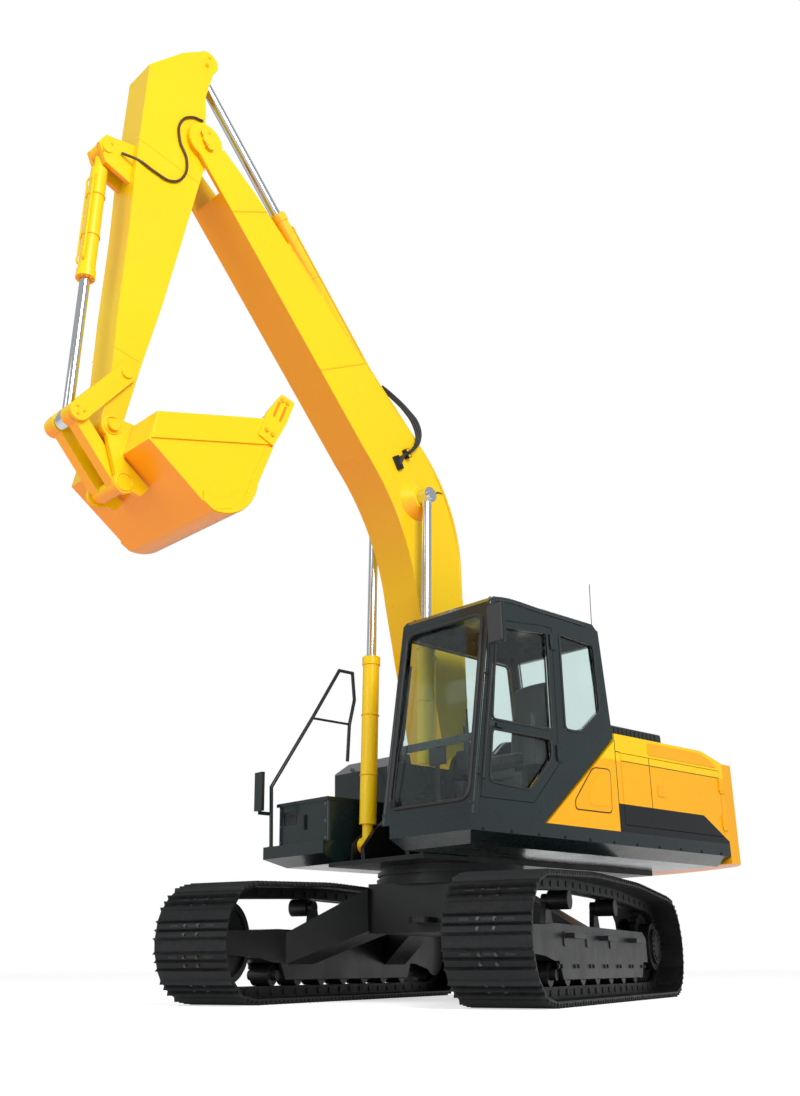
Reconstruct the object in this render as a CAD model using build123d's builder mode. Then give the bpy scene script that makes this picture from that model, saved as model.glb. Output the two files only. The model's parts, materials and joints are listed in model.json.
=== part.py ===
from build123d import *
from math import asin, atan2, cos, degrees, hypot, radians, sin, sqrt
import os

os.makedirs("parts", exist_ok=True)

# Crawler excavator of about 21 t, in millimetres: X forwards, Y left, Z up, ground at Z = 0.
# The slewing axis is X = 0, Y = 0 while the pieces are made; place_x then centres the whole machine.

# Clearances
pin_clearance = 0.1
side_gap = 5
seat_gap = 0.3
carrier_gap = 3

# Crawler
track_gauge = 2200
shoe_width = 600
shoe_pitch = 190
wheel_base = 3650
pitch_radius = 345
link_half = 40
shoe_plate = 14
grouser_height = 28
grouser_step = 60
grouser_foot = 11
link_width = 50
link_space = 60
carrier_pin_line = 831
carrier_front = 620
carrier_rear = -700
roller_count = 7
roller_radius = 78
roller_step = 400
carrier_radius = 68
beam_half = 150
beam_bottom = 290
beam_top = 535
slew_angle = 22.3
ring_radius = 600
ring_top = 1035
leg_inner = 480
tow_plate = 40
tow_hole = 35
tow_eye_x = 670
tow_eye_height = 580

# Upper structure
deck_top = 1254
deck_bottom = 1075
deck_half = 1385
deck_front = 1228
right_deck_front = 940
deck_rear = -2050
centre_half = 560
floor_bottom = ring_top + 0.5
tail_radius = 2750
weight_bottom = 1090
weight_top = 1950
weight_shoulder = 1150
body_top = 2033
body_rear_top = 1955
lift_eye_x = -2350
lift_eye_y = 700
lift_eye_height = 2010
lift_eye_hole = 32
lift_eye_plate = 30
panel = 30
engine_hood_top = 2150

# Cab
cab_right = 435
cab_left = 1385
cab_roof_top = 2930
cab_roof_bottom = 2872
cab_wall = 45
cab_front_foot = 1192
cab_front_head = 922
cab_rear = -480
cab_belt = 1985
front_bar = 1800
glass_thickness = 8
door_thickness = 45
door_hinge_x = 236
door_hinge_out = 8
door_hinge_heights = (1800, 2680)
knuckle_radius = 11
knuckle_length = 100
hinge_pin = 6

# Working gear: pivots as X and Z
boom_foot = (100, 1820)
boom_angle = 60.8
boom_length = 5700
boom_half = 205
boom_foot_half = 235
boom_foot_radius = 130
fork_half = 173
boss_at = (2256, 779)
boom_ram_foot = (640, 1210)
boom_ram_y = 345
ram_eye_half = 50
boom_barrel = 1620
boom_barrel_radius = 72
boom_rod_radius = 42
arm_ram_foot = (3120, 1045)
arm_barrel = 1995
arm_barrel_radius = 76
arm_rod_radius = 48
arm_angle = -76.7
arm_length = 2940
arm_half = 160
arm_boss_half = 168
arm_tail_eye = (-847, 191)
bucket_ram_foot = (626, 713)
bucket_barrel = 1178
bucket_barrel_radius = 66
bucket_rod_radius = 40
guide_pivot = (arm_length - 470, 20)
rod_pivot = (arm_length + 20, 264)
link_pivot = (3305, -215)
pin_radius = 45
eye_radius = 70
link_eye_radius = 80
link_foot_radius = 62
neck_length = 170
barrel_floor = 15
neck_radius = 46
ram_ear = 25
gland_length = 70
ear_thickness = 40
pipe_radius = 16
pipe_lift = 46
pipe_rows = (-160, -120, 120, 160)
bucket_half = 560
bucket_plate = 25
tooth_count = 5
cutter_thickness = 24
wear_strip = 16
frame_plate = 45


def side(y):
    """Upright plane at Y = y, drawn in X and Z."""
    return Plane(origin=(0, y, 0), x_dir=(1, 0, 0), z_dir=(0, -1, 0))


def tilted(pivot, angle, y=0):
    """Upright plane through a pivot, its first direction turned up by angle."""
    turn = radians(angle)
    return Plane(origin=(pivot[0], y, pivot[1]), x_dir=(cos(turn), 0, sin(turn)), z_dir=(0, -1, 0))


def reach(pivot, angle, point):
    """X and Z of a point given in a tilted plane."""
    turn = radians(angle)
    return (
        pivot[0] + point[0] * cos(turn) - point[1] * sin(turn),
        pivot[1] + point[0] * sin(turn) + point[1] * cos(turn),
    )


def slab(plane, points, thickness, radius=0, mode=Mode.ADD):
    """Flat piece on both sides of a plane, from the corners of its outline."""
    with BuildSketch(plane) as outline:
        with BuildLine():
            Polyline(*points, close=True)
        make_face()
        if radius:
            fillet(outline.vertices(), radius)
    extrude(outline.sketch, amount=thickness / 2, both=True, mode=mode)


def drum(plane, centre, radius, thickness, mode=Mode.ADD):
    """Round piece on both sides of a plane."""
    with BuildSketch(plane) as disc:
        with Locations(centre):
            Circle(radius)
    extrude(disc.sketch, amount=thickness / 2, both=True, mode=mode)


def block(low, high, mode=Mode.ADD):
    """Upright box from its lowest to its highest corner."""
    size = [high[k] - low[k] for k in range(3)]
    with Locations(tuple((high[k] + low[k]) / 2 for k in range(3))):
        Box(*size, mode=mode)


def bar(plane, radius, length, mode=Mode.ADD):
    """Round bar that starts on a plane and runs along its normal."""
    with BuildSketch(plane) as disc:
        Circle(radius)
    extrude(disc.sketch, amount=length, mode=mode)


def strut(plane, start, end, width, thickness):
    """Bar with round ends between two points of a plane."""
    length = hypot(end[0] - start[0], end[1] - start[1])
    lean = degrees(atan2(end[1] - start[1], end[0] - start[0]))
    with BuildSketch(plane) as bar:
        with Locations(((start[0] + end[0]) / 2, (start[1] + end[1]) / 2)):
            SlotCenterToCenter(length, width, rotation=lean)
    extrude(bar.sketch, amount=thickness / 2, both=True)


boom_tip = reach(boom_foot, boom_angle, (boom_length, 0))
boss_place = reach(boom_foot, boom_angle, boss_at)
arm_ram_place = reach(boom_foot, boom_angle, arm_ram_foot)
tail_place = reach(boom_tip, arm_angle, arm_tail_eye)
bucket_pin = reach(boom_tip, arm_angle, (arm_length, 0))
bucket_ram_place = reach(boom_tip, arm_angle, bucket_ram_foot)
guide_place = reach(boom_tip, arm_angle, guide_pivot)
rod_place = reach(boom_tip, arm_angle, rod_pivot)
link_place = reach(boom_tip, arm_angle, link_pivot)

# The machine's box is centred over the origin: the tail is its rear and the bucket links its front.
front_reach = rod_place[0] + link_eye_radius
place_x = (tail_radius - front_reach) / 2
pieces = {}


def finish(name, builder, turned=False):
    """Names a piece, turns the undercarriage to its slewed place and writes the piece."""
    solid = builder.part
    if turned:
        solid = solid.rotate(Axis.Z, slew_angle)
    solid = solid.moved(Location((place_x, 0, 0)))
    solid.label = name
    pieces[name] = solid
    export_step(solid, f"parts/{name}.step")


# Crawler track: one closed loop of triple-grouser shoes on two rows of links

wheel_height = pitch_radius + link_half + shoe_plate + grouser_height
pin_line_low = wheel_height - pitch_radius
half_base = wheel_base / 2
link_row = (link_space + link_width) / 2


def top_slope(run):
    """Angle at which the upper run falls from a carrier roller to a wheel."""
    rise = carrier_pin_line - wheel_height
    return degrees(atan2(rise, run) - asin(pitch_radius / hypot(run, rise)))


with BuildLine(side(0)) as pin_line:
    low_run = Line((-half_base, pin_line_low), (half_base, pin_line_low))
    front_turn = 180 - top_slope(half_base - carrier_front)
    front_wrap = CenterArc((half_base, wheel_height), pitch_radius, -90, front_turn)
    rear_slope = top_slope(half_base + carrier_rear)
    rear_wrap = CenterArc((-half_base, wheel_height), pitch_radius, 90 + rear_slope, 180 - rear_slope)
    front_fall = Line(front_wrap @ 1, (carrier_front, carrier_pin_line))
    level_run = Line(front_fall @ 1, (carrier_rear, carrier_pin_line))
    rear_fall = Line(level_run @ 1, rear_wrap @ 0)

loop = pin_line.wires()[0]
shoe_count = round(loop.length / shoe_pitch)
pins = []
for k in range(shoe_count):
    spot = loop.position_at(k * loop.length / shoe_count, position_mode=PositionMode.LENGTH)
    pins.append((spot.X, spot.Z))
if pins[1][0] < pins[0][0]:
    pins.reverse()


def shoe_outline(start, end):
    """Outer profile of one shoe between two link pins: a notch, then three grousers."""
    length = hypot(end[0] - start[0], end[1] - start[1])
    along = ((end[0] - start[0]) / length, (end[1] - start[1]) / length)
    out = (along[1], -along[0])
    plate = link_half + shoe_plate
    steps = [(-length / 2, plate - shoe_plate / 2)]
    for middle in (-grouser_step, 0, grouser_step):
        steps.append((middle - grouser_foot, plate))
        steps.append((middle, plate + grouser_height))
        steps.append((middle + grouser_foot, plate))
    middle = ((start[0] + end[0]) / 2, (start[1] + end[1]) / 2)
    return [
        (middle[0] + a * along[0] + b * out[0], middle[1] + a * along[1] + b * out[1])
        for a, b in steps
    ]


def offset_ring(distance):
    """Corners of the link chain's polygon, at a distance outside its pins."""
    corners = []
    for k in range(shoe_count):
        before, here, after = pins[k - 1], pins[k], pins[(k + 1) % shoe_count]
        along = (after[0] - before[0], after[1] - before[1])
        length = hypot(*along)
        corners.append((here[0] + along[1] / length * distance, here[1] - along[0] / length * distance))
    return corners


def ring(plane, outer, inner, thickness):
    """Closed band between two outlines."""
    with BuildSketch(plane) as band:
        with BuildLine():
            Polyline(*outer, close=True)
        make_face()
        with BuildLine():
            Polyline(*inner, close=True)
        make_face(mode=Mode.SUBTRACT)
    extrude(band.sketch, amount=thickness / 2, both=True)


def track(y):
    with BuildPart() as piece:
        outer = []
        for k in range(shoe_count):
            outer += shoe_outline(pins[k], pins[(k + 1) % shoe_count])
        ring(side(y), outer, offset_ring(link_half), shoe_width)
        for row in (-link_row, link_row):
            ring(side(y + row), offset_ring(link_half + shoe_plate / 3), offset_ring(-link_half), link_width)
    return piece


# Side frame: box beam, idler fork in front, final drive plate behind, roller guards below

chord_middle = pitch_radius * cos(asin(shoe_pitch / 2 / pitch_radius))
tread_radius = chord_middle - link_half - 4
idler_half = link_row + link_width / 2
fork_inner = idler_half + side_gap
roller_height = pin_line_low + link_half + roller_radius + seat_gap


def side_frame(y, inward):
    with BuildPart() as piece:
        beam = [
            (-1400, beam_bottom), (1300, beam_bottom), (1500, 320), (2010, 345), (2010, 505),
            (1500, 520), (1250, beam_top), (-1280, beam_top), (-1400, 480),
        ]
        slab(side(y), beam, 2 * beam_half)
        slab(side(y), [(1440, 0), (2100, 0), (2100, 900), (1440, 900)], 2 * fork_inner, mode=Mode.SUBTRACT)
        plate_y = y + inward * (beam_half - 15)
        slab(side(plate_y), [(-1300, 300), (-1300, 500), (-half_base, 640), (-half_base, 215)], panel)
        drum(side(plate_y), (-half_base, wheel_height), 245, panel)
        for edge in (-1, 1):
            guard = [(-1250, beam_bottom + 5), (1200, beam_bottom + 5), (1120, 168), (-1170, 168)]
            slab(side(y + edge * (beam_half - 12)), guard, 24)
        for x in (carrier_rear, carrier_front):
            foot = [(x - 110, beam_top - 10), (x + 90, beam_top - 10), (x + 50, 700), (x - 50, 700)]
            slab(side(y + inward * 110), foot, 40)
            drum(side(y + inward * 110), (x, carrier_height), 50, 40)
        for x in (-900, 0, 900):
            step = [(x - 150, beam_top - 95), (x + 150, beam_top - 95),
                    (x + 150, beam_top - 60), (x - 150, beam_top - 60)]
            slab(side(y - inward * (beam_half + 35)), step, 80)
    return piece


carrier_height = carrier_pin_line - link_half - carrier_radius - carrier_gap


def rollers(y):
    with BuildPart() as piece:
        for k in range(roller_count):
            x = (k - (roller_count - 1) / 2) * roller_step
            drum(side(y), (x, roller_height), roller_radius, 2 * idler_half)
            drum(side(y), (x, roller_height), 38, 2 * (beam_half - 24.3))
    return piece


def carriers(y, inward):
    with BuildPart() as piece:
        for x in (carrier_rear, carrier_front):
            drum(side(y), (x, carrier_height), carrier_radius, 2 * idler_half)
            drum(side(y + inward * 75), (x, carrier_height), 34, 29)
    return piece


def idler(y):
    with BuildPart() as piece:
        drum(side(y), (half_base, wheel_height), tread_radius, 2 * idler_half)
        drum(side(y), (half_base, wheel_height), tread_radius + 30, link_space - 2 * side_gap)
        for face in (-1, 1):
            drum(side(y + face * idler_half), (half_base, wheel_height), tread_radius - 45, 50, mode=Mode.SUBTRACT)
        drum(side(y), (half_base, wheel_height), 85, 2 * fork_inner)
    return piece


sprocket_teeth = 21
drive_face = link_space / 2 - side_gap
drive_wall = beam_half - panel


def sprocket(y, inward):
    with BuildPart() as piece:
        with BuildSketch(side(y)) as gear:
            with Locations((-half_base, wheel_height)):
                Circle(tread_radius - 6)
                with PolarLocations(tread_radius - 30, sprocket_teeth):
                    Trapezoid(48, 62, 72, rotation=-90, align=(Align.CENTER, Align.MIN))
        extrude(gear.sketch, amount=(link_space - 2 * side_gap) / 2, both=True)
        centre = (-half_base, wheel_height)
        drum(side(y + inward * (drive_wall - seat_gap) / 2), centre, 215, drive_wall - seat_gap)
        drum(side(y - inward * 60), centre, 200, 120)
        drum(side(y - inward * 130), centre, 150, 30)
    return piece


for name, y in (("left", track_gauge / 2), ("right", -track_gauge / 2)):
    inward = -1 if y > 0 else 1
    finish(f"track_{name}", track(y), turned=True)
    finish(f"track_frame_{name}", side_frame(y, inward), turned=True)
    finish(f"bottom_rollers_{name}", rollers(y), turned=True)
    finish(f"carrier_rollers_{name}", carriers(y, inward), turned=True)
    finish(f"idler_{name}", idler(y), turned=True)
    finish(f"sprocket_{name}", sprocket(y, inward), turned=True)

# Carbody: round tower on a cross of four bent box legs

with BuildPart() as carbody:
    with Locations((0, 0, 700)):
        Box(1150, 2 * leg_inner + 40, 380)
    with BuildSketch(Plane.XY.offset(880)):
        Circle(ring_radius + 30)
    extrude(amount=60)
    for front in (-1, 1):
        for left in (-1, 1):
            with BuildSketch(side(left * leg_inner)):
                with Locations((front * 420, 690)):
                    Rectangle(420, 330)
            with BuildSketch(side(left * (track_gauge / 2 - beam_half))):
                with Locations((front * 900, 395)):
                    Rectangle(440, 230)
            loft()
    with BuildSketch(Plane.XY.offset(tow_eye_height)):
        with Locations((tow_eye_x - 60, 0), (60 - tow_eye_x, 0)):
            RectangleRounded(260, 180, 50)
        with Locations((tow_eye_x, 0), (-tow_eye_x, 0)):
            Circle(tow_hole, mode=Mode.SUBTRACT)
    extrude(amount=tow_plate)
finish("carbody", carbody, turned=True)

with BuildPart() as slew_ring:
    with BuildSketch(Plane.XY.offset(940)):
        Circle(ring_radius)
        Circle(ring_radius - 110, mode=Mode.SUBTRACT)
    extrude(amount=ring_top - 940)
    with BuildSketch(Plane.XY.offset(965)):
        Circle(ring_radius + 22)
        Circle(ring_radius - 20, mode=Mode.SUBTRACT)
    extrude(amount=30)
finish("slew_ring", slew_ring, turned=True)

# Revolving frame: floor plate, two boom plates, cylinder brackets and side decks

plate_y = boom_foot_half + side_gap + frame_plate / 2
ear_y = boom_ram_y + ram_eye_half + side_gap + ram_ear / 2

with BuildPart() as boom_bracket:
    for edge in (-1, 1):
        boom_plate = [
            (-950, floor_bottom + 35), (760, floor_bottom + 35), (770, 1180), (640, 1330), (330, 1560),
            (230, 1850), (100, 1950), (-20, 1930), (-500, 1560), (-950, 1400),
        ]
        slab(side(edge * plate_y), boom_plate, frame_plate)
        drum(side(edge * plate_y), boom_foot, 130, frame_plate)
        ear = [(480, floor_bottom + 35), (760, floor_bottom + 35), (740, 1230), (640, 1310), (540, 1270)]
        slab(side(edge * ear_y), ear, ram_ear)
        drum(side(edge * (boom_ram_y + 5)), boom_ram_foot, pin_radius, 2 * ram_eye_half + 30)
    drum(side(0), boom_foot, pin_radius, 2 * (plate_y + 40))
finish("boom_bracket", boom_bracket)

with BuildPart() as revolving_frame:
    block((deck_rear, -centre_half, floor_bottom), (880, centre_half, floor_bottom + 35))
    for edge in (-1, 1):
        rail = [(deck_rear, floor_bottom + 35), (400, floor_bottom + 35), (400, 1200), (deck_rear, 1200)]
        slab(side(edge * (centre_half - 20)), rail, 40)
finish("revolving_frame", revolving_frame)


def side_deck(edge, front):
    """Platform beside the boom: flat top, deep outer sill and a bottom that rises to its edges."""
    inner = centre_half + seat_gap
    with BuildPart() as piece:
        block((deck_rear, min(edge * inner, edge * deck_half), deck_bottom),
              (front, max(edge * inner, edge * deck_half), deck_top))
        lower = piece.faces().sort_by(Axis.Z)[0].edges()
        outer = lower.sort_by(Axis.Y)[-1 if edge > 0 else 0]
        nose = lower.sort_by(Axis.X)[-1]
        chamfer([outer, nose], 75, 150)
    return piece


finish("side_deck_left", side_deck(1, deck_front))
finish("side_deck_right", side_deck(-1, right_deck_front))

# Counterweight: the tail's arc, its corners rounded, its top and bottom edges cut back

with BuildPart() as counterweight:
    with BuildSketch(Plane.XY.offset(weight_bottom)):
        shoulder = -sqrt(tail_radius**2 - weight_shoulder**2)
        with BuildLine():
            Line((deck_rear - seat_gap, weight_shoulder + 235), (deck_rear - seat_gap, -weight_shoulder - 235))
            Line((deck_rear - seat_gap, -weight_shoulder - 235), (-2190, -weight_shoulder - 235))
            Line((-2190, -weight_shoulder - 235), (shoulder, -weight_shoulder))
            ThreePointArc((shoulder, -weight_shoulder), (-tail_radius, 0), (shoulder, weight_shoulder))
            Line((shoulder, weight_shoulder), (-2190, weight_shoulder + 235))
            Line((-2190, weight_shoulder + 235), (deck_rear - seat_gap, weight_shoulder + 235))
        make_face()
    extrude(amount=weight_top - weight_bottom)
    chamfer(counterweight.faces().sort_by(Axis.Z)[-1].edges().filter_by(GeomType.CIRCLE), 90, 50)
    chamfer(counterweight.faces().sort_by(Axis.Z)[0].edges().filter_by(GeomType.CIRCLE), 60, 90)
    for edge in (-1, 1):
        foot, crest = (weight_top - 6, lift_eye_height + 55)
        eye = [(lift_eye_x - 110, foot), (lift_eye_x + 110, foot), (lift_eye_x + 45, crest), (lift_eye_x - 45, crest)]
        slab(side(edge * lift_eye_y), eye, lift_eye_plate)
        drum(side(edge * lift_eye_y), (lift_eye_x, lift_eye_height), lift_eye_hole, lift_eye_plate + 2,
             mode=Mode.SUBTRACT)
    with BuildSketch(Plane(origin=(-tail_radius, 0, 1500), x_dir=(0, -1, 0), z_dir=(-1, 0, 0))) as recess:
        with Locations((0, 120)):
            RectangleRounded(1100, 330, 60)
    extrude(recess.sketch, amount=-70, mode=Mode.SUBTRACT)
finish("counterweight", counterweight)

# Machinery housings: hollow boxes with one open side, their doors and the engine hood

side_profile = [
    (deck_rear, deck_top + seat_gap), (400, deck_top + seat_gap), (cab_rear - 18, cab_belt - 10),
    (cab_rear - 18, body_top), (-1737, body_top), (deck_rear, body_rear_top),
]
door_low = deck_top + 55
side_hinge_x = deck_rear + 79
side_hinge_heights = (1440, 1760)
door_high = cab_belt - 100


def hinge_support(x, edge, face, z):
    """Arm and upright pin on which one knuckle of a door sits."""
    foot = z - knuckle_length / 2 - seat_gap
    drum(Plane.XY.offset(foot + 25), (x, edge * (face + door_hinge_out)), hinge_pin, knuckle_length - 4)
    for near, rear, front in ((side_gap, 61, 0), (-10, 61, 28)):
        inner, outer = sorted((edge * (face + near), edge * (face + 14)))
        block((x - rear, inner, foot - 22), (x - front, outer, foot))


def housing(edge, profile, door_front):
    """Side housing: shell of panels, open where its door closes it."""
    middle = edge * (centre_half + deck_half) / 2
    width = deck_half - centre_half
    with BuildPart() as piece:
        slab(side(middle), profile, width)
        low, high = (centre_half + panel, deck_half - panel)
        room = [(deck_rear + panel, deck_top + panel), (door_front + 20, deck_top + panel),
                (door_front + 20, body_top - 110), (deck_rear + panel, body_rear_top - 60)]
        slab(side(edge * (low + high) / 2), room, high - low, mode=Mode.SUBTRACT)
        opening = [(deck_rear + 60, door_low), (door_front, door_low),
                   (door_front, door_high), (deck_rear + 60, door_high)]
        slab(side(edge * (deck_half - panel / 2)), opening, panel + 1, mode=Mode.SUBTRACT)
        for z in side_hinge_heights:
            hinge_support(side_hinge_x, edge, deck_half, z)
    return piece


def side_door(edge, door_front):
    with BuildPart() as piece:
        low_x, high_x = deck_rear + 60 + side_gap, door_front - side_gap
        low_z, high_z = door_low + side_gap, door_high - side_gap
        sheet = [(low_x, low_z), (high_x, low_z), (high_x, high_z), (low_x, high_z)]
        slab(side(edge * (deck_half - panel / 2)), sheet, panel)
        for z in side_hinge_heights:
            knuckle = (side_hinge_x, edge * (deck_half + door_hinge_out))
            drum(Plane.XY.offset(z), knuckle, knuckle_radius, knuckle_length)
            drum(Plane.XY.offset(z), knuckle, hinge_pin + pin_clearance, knuckle_length + 2, mode=Mode.SUBTRACT)
    return piece


left_door_front = -560
right_door_front = -760
right_profile = [
    (deck_rear, deck_top + seat_gap), (-700, deck_top + seat_gap), (-700, body_top), (-1737, body_top),
    (deck_rear, body_rear_top),
]
finish("housing_left", housing(1, side_profile, left_door_front))
finish("housing_right", housing(-1, right_profile, right_door_front))
finish("side_door_left", side_door(1, left_door_front))
finish("side_door_right", side_door(-1, right_door_front))

hood_front = -1000
hood_hinge = 12
hood_rear = -2040
hood_base = body_top - 40

with BuildPart() as engine:
    block((-1950, -460, 1230), (-1120, 460, 1820))
    for x in (-1850, -1220):
        block((x - 40, -300, floor_bottom + 35 + seat_gap), (x + 40, 300, 1240))
finish("engine", engine)

with BuildPart() as hood_base_frame:
    block((deck_rear + 5, -centre_half + seat_gap, hood_base - 60), (cab_rear - 80, centre_half - seat_gap, hood_base))
    block((hood_rear + 90, -centre_half + 90, hood_base - 61),
          (hood_front - 60, centre_half - 90, hood_base + 1), mode=Mode.SUBTRACT)
    block((hood_front - 20, -centre_half + 40, floor_bottom + 35 + seat_gap),
          (hood_front + 20, centre_half - 40.3, hood_base - 60))
    for edge in (-1, 1):
        middle = edge * (centre_half - 45)
        block((-1700, middle - 30, 1200.3), (-1600, middle + 30, hood_base - 60))
finish("engine_frame", hood_base_frame)

with BuildPart() as engine_hood:
    block((hood_rear, -centre_half + side_gap, hood_base + seat_gap),
          (hood_front, centre_half - side_gap, engine_hood_top))
    chamfer(engine_hood.faces().sort_by(Axis.Z)[-1].edges(), 60)
    block((hood_rear + panel, -centre_half + panel, hood_base),
          (hood_front - panel, centre_half - panel, engine_hood_top - 70), mode=Mode.SUBTRACT)
    with Locations((hood_rear + 260, -300, engine_hood_top + 70)):
        Cylinder(46, 200)
    with Locations((hood_front + hood_hinge, 0, hood_base + 20)):
        Cylinder(14, 600, rotation=(90, 0, 0))
finish("engine_hood", engine_hood)

# Right front: fuel tank, toolbox with lid, handrail and mirror

tank_front = 140
box_front = 830
box_top = 1600

with BuildPart() as fuel_tank:
    tank = [(-690, deck_top + seat_gap), (tank_front, deck_top + seat_gap),
            (tank_front, 1960), (-60, 2090), (-690, 2090)]
    slab(side(-(centre_half + 40 + deck_half) / 2), tank, deck_half - centre_half - 40)
    fillet(fuel_tank.edges().filter_by(Axis.Z), 45)
    with Locations((-480, -1180, 2090)):
        Cylinder(60, 60)
finish("fuel_tank", fuel_tank)

with BuildPart() as toolbox:
    box_low = (tank_front + seat_gap, -1320, deck_top + seat_gap)
    box_high = (box_front, -620, box_top)
    block(box_low, box_high)
    fillet(toolbox.edges().filter_by(Axis.Z).sort_by(Axis.X)[-2:], 30)
    with BuildSketch(Plane(origin=(box_front, -1140, 1490), x_dir=(0, 1, 0), z_dir=(1, 0, 0))) as lamp_recess:
        RectangleRounded(190, 110, 20)
    extrude(lamp_recess.sketch, amount=-15, mode=Mode.SUBTRACT)
    block((box_low[0] + 25, box_low[1] + 25, box_low[2] + 25),
          (box_front - 25, -645, box_top + 1), mode=Mode.SUBTRACT)
finish("toolbox", toolbox)

with BuildPart() as toolbox_lid:
    block((tank_front + 30, -1325, box_top + seat_gap), (box_front + 15, -615, box_top + 30))
    drum(side(-970), (tank_front + 22, box_top + 16), 11, 300)
finish("toolbox_lid", toolbox_lid)

rail_y = -1345
rail_radius = 17
rail_points = [
    (884, deck_top + 1), (894, 1783), (427, 2471), (92, 2985), (-76, 2985), (-100, 2719), (-34, 2464), (-8, 2110),
]
with BuildPart() as handrail:
    with BuildLine(side(rail_y)) as rail_line:
        Polyline(*rail_points)
    with BuildSketch(Plane(origin=rail_line.line @ 0, z_dir=rail_line.line % 0)):
        Circle(rail_radius)
    sweep(path=rail_line.line, transition=Transition.RIGHT)
    drum(Plane(origin=(0, rail_y, 2471), x_dir=(0, 1, 0), z_dir=(1, 0, 0)).offset(197), (0, 0), 12, 450)
finish("handrail", handrail)

# Cab: hollow shell, roof, door, panes and the operator's place

cab_middle = (cab_left + cab_right) / 2
cab_width = cab_left - cab_right
cab_profile = [
    (430, deck_top + seat_gap), (cab_front_foot, deck_top + seat_gap), (cab_front_head, cab_roof_bottom),
    (cab_rear + 90, cab_roof_bottom), (cab_rear, cab_belt), (-455, cab_belt - 10),
]
room_profile = [
    (450, deck_top + 50), (cab_front_foot + 60, deck_top + 50), (cab_front_head + 60, cab_roof_bottom + 1),
    (cab_rear + 140, cab_roof_bottom + 1), (cab_rear + 50, cab_belt + 25), (-425, cab_belt + 15),
]
door_outline = [(1110, 1385), (909, 2726), (330, 2782), (215, 2782), (224, 1705), (540, 1392)]
rear_window = [(45, 2759), (-312, 2739), (-338, 2192), (-73, 1988), (120, 1988), (120, 2759)]
door_window_high = [(955, 1960), (862, 2680), (275, 2735), (275, 1960)]
door_window_low = [(1010, 1500), (958, 1890), (300, 1890), (300, 1745), (570, 1480)]


def rear_wall(z):
    """X of the cab's leaning rear wall at a height."""
    return cab_rear + 90 * (z - cab_belt) / (cab_roof_bottom - cab_belt)


def front_wall(z):
    """X of the cab's leaning front at a height."""
    return cab_front_foot + (cab_front_head - cab_front_foot) * (z - deck_top) / (cab_roof_bottom - deck_top)


def slope(x):
    """Height of the sloping panel behind and under the seat."""
    (x0, z0), (x1, z1) = room_profile[0], room_profile[-1]
    return z0 + (z1 - z0) * (x - x0) / (x1 - x0) + 2 * seat_gap


def shrink(points, amount):
    """Outline moved inwards all round."""
    with BuildSketch(Plane.XY, mode=Mode.PRIVATE) as outline:
        with BuildLine():
            Polyline(*points, close=True)
        make_face()
        offset(amount=-amount, kind=Kind.INTERSECTION)
    corners = outline.face().outer_wire().order_edges()
    return [(edge.position_at(0).X, edge.position_at(0).Y) for edge in corners]


with BuildPart() as cab_shell:
    slab(side(cab_middle), cab_profile, cab_width)
    slab(side(cab_middle), room_profile, cab_width - 2 * cab_wall, mode=Mode.SUBTRACT)
    slab(side(cab_left - cab_wall / 2), shrink(door_outline, -side_gap), cab_wall + 2, mode=Mode.SUBTRACT)
    slab(side(cab_left - cab_wall / 2), rear_window, cab_wall + 2, mode=Mode.SUBTRACT)
    right_window = [(1010, 1750), (865, 2760), (-330, 2740), (-390, 2080), (-200, 2050), (150, 1750)]
    slab(side(cab_right + cab_wall / 2), right_window, cab_wall + 2, mode=Mode.SUBTRACT)
    rear_low, rear_high = (cab_belt + 90, cab_roof_bottom - 120)
    block((cab_rear - 10, cab_right + 90, rear_low), (cab_rear + 160, cab_left - 90, rear_high), mode=Mode.SUBTRACT)
    block((cab_front_foot - 60, cab_right, deck_top + seat_gap), (cab_front_foot - 8, cab_left, deck_top + 90))
    head = [(cab_front_head - 60, cab_roof_bottom - 70), (cab_front_head + 10, cab_roof_bottom - 70),
            (cab_front_head, cab_roof_bottom), (cab_front_head - 60, cab_roof_bottom)]
    slab(side(cab_middle), head, cab_width)
    bar_low, bar_high = (front_wall(front_bar), front_wall(front_bar + 60))
    cross_bar = [(bar_low - 44, front_bar), (bar_low - 24, front_bar),
                 (bar_high - 24, front_bar + 60), (bar_high - 44, front_bar + 60)]
    slab(side(cab_middle), cross_bar, cab_width - 2 * cab_wall)
    for z in door_hinge_heights:
        hinge_support(door_hinge_x, 1, cab_left, z)
finish("cab_shell", cab_shell)

with BuildPart() as cab_roof:
    roof = [(cab_front_head - 5, cab_roof_bottom + seat_gap), (cab_front_head - 60, cab_roof_top - 8), (300, cab_roof_top),
            (-330, cab_roof_top - 8), (cab_rear + 85, cab_roof_bottom + seat_gap)]
    slab(side(cab_middle), roof, cab_width - 20)
    fillet(cab_roof.edges().filter_by(Axis.Y).sort_by(Axis.Z)[-3:], 12)
finish("cab_roof", cab_roof)

grab_low = 1500
grab_high = 2350

with BuildPart() as grab_bar:
    with BuildLine(side(cab_left + 60)) as bar_line:
        Line((front_wall(grab_low) - 12, grab_low), (front_wall(grab_high) - 12, grab_high))
    with BuildSketch(Plane(origin=bar_line.line @ 0, z_dir=bar_line.line % 0)):
        Circle(13)
    sweep(path=bar_line.line)
    for z in (grab_low + 40, grab_high - 60):
        drum(side(cab_left + (60 + seat_gap) / 2), (front_wall(z) - 12, z), 11, 60 - seat_gap)
finish("grab_bar", grab_bar)

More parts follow.
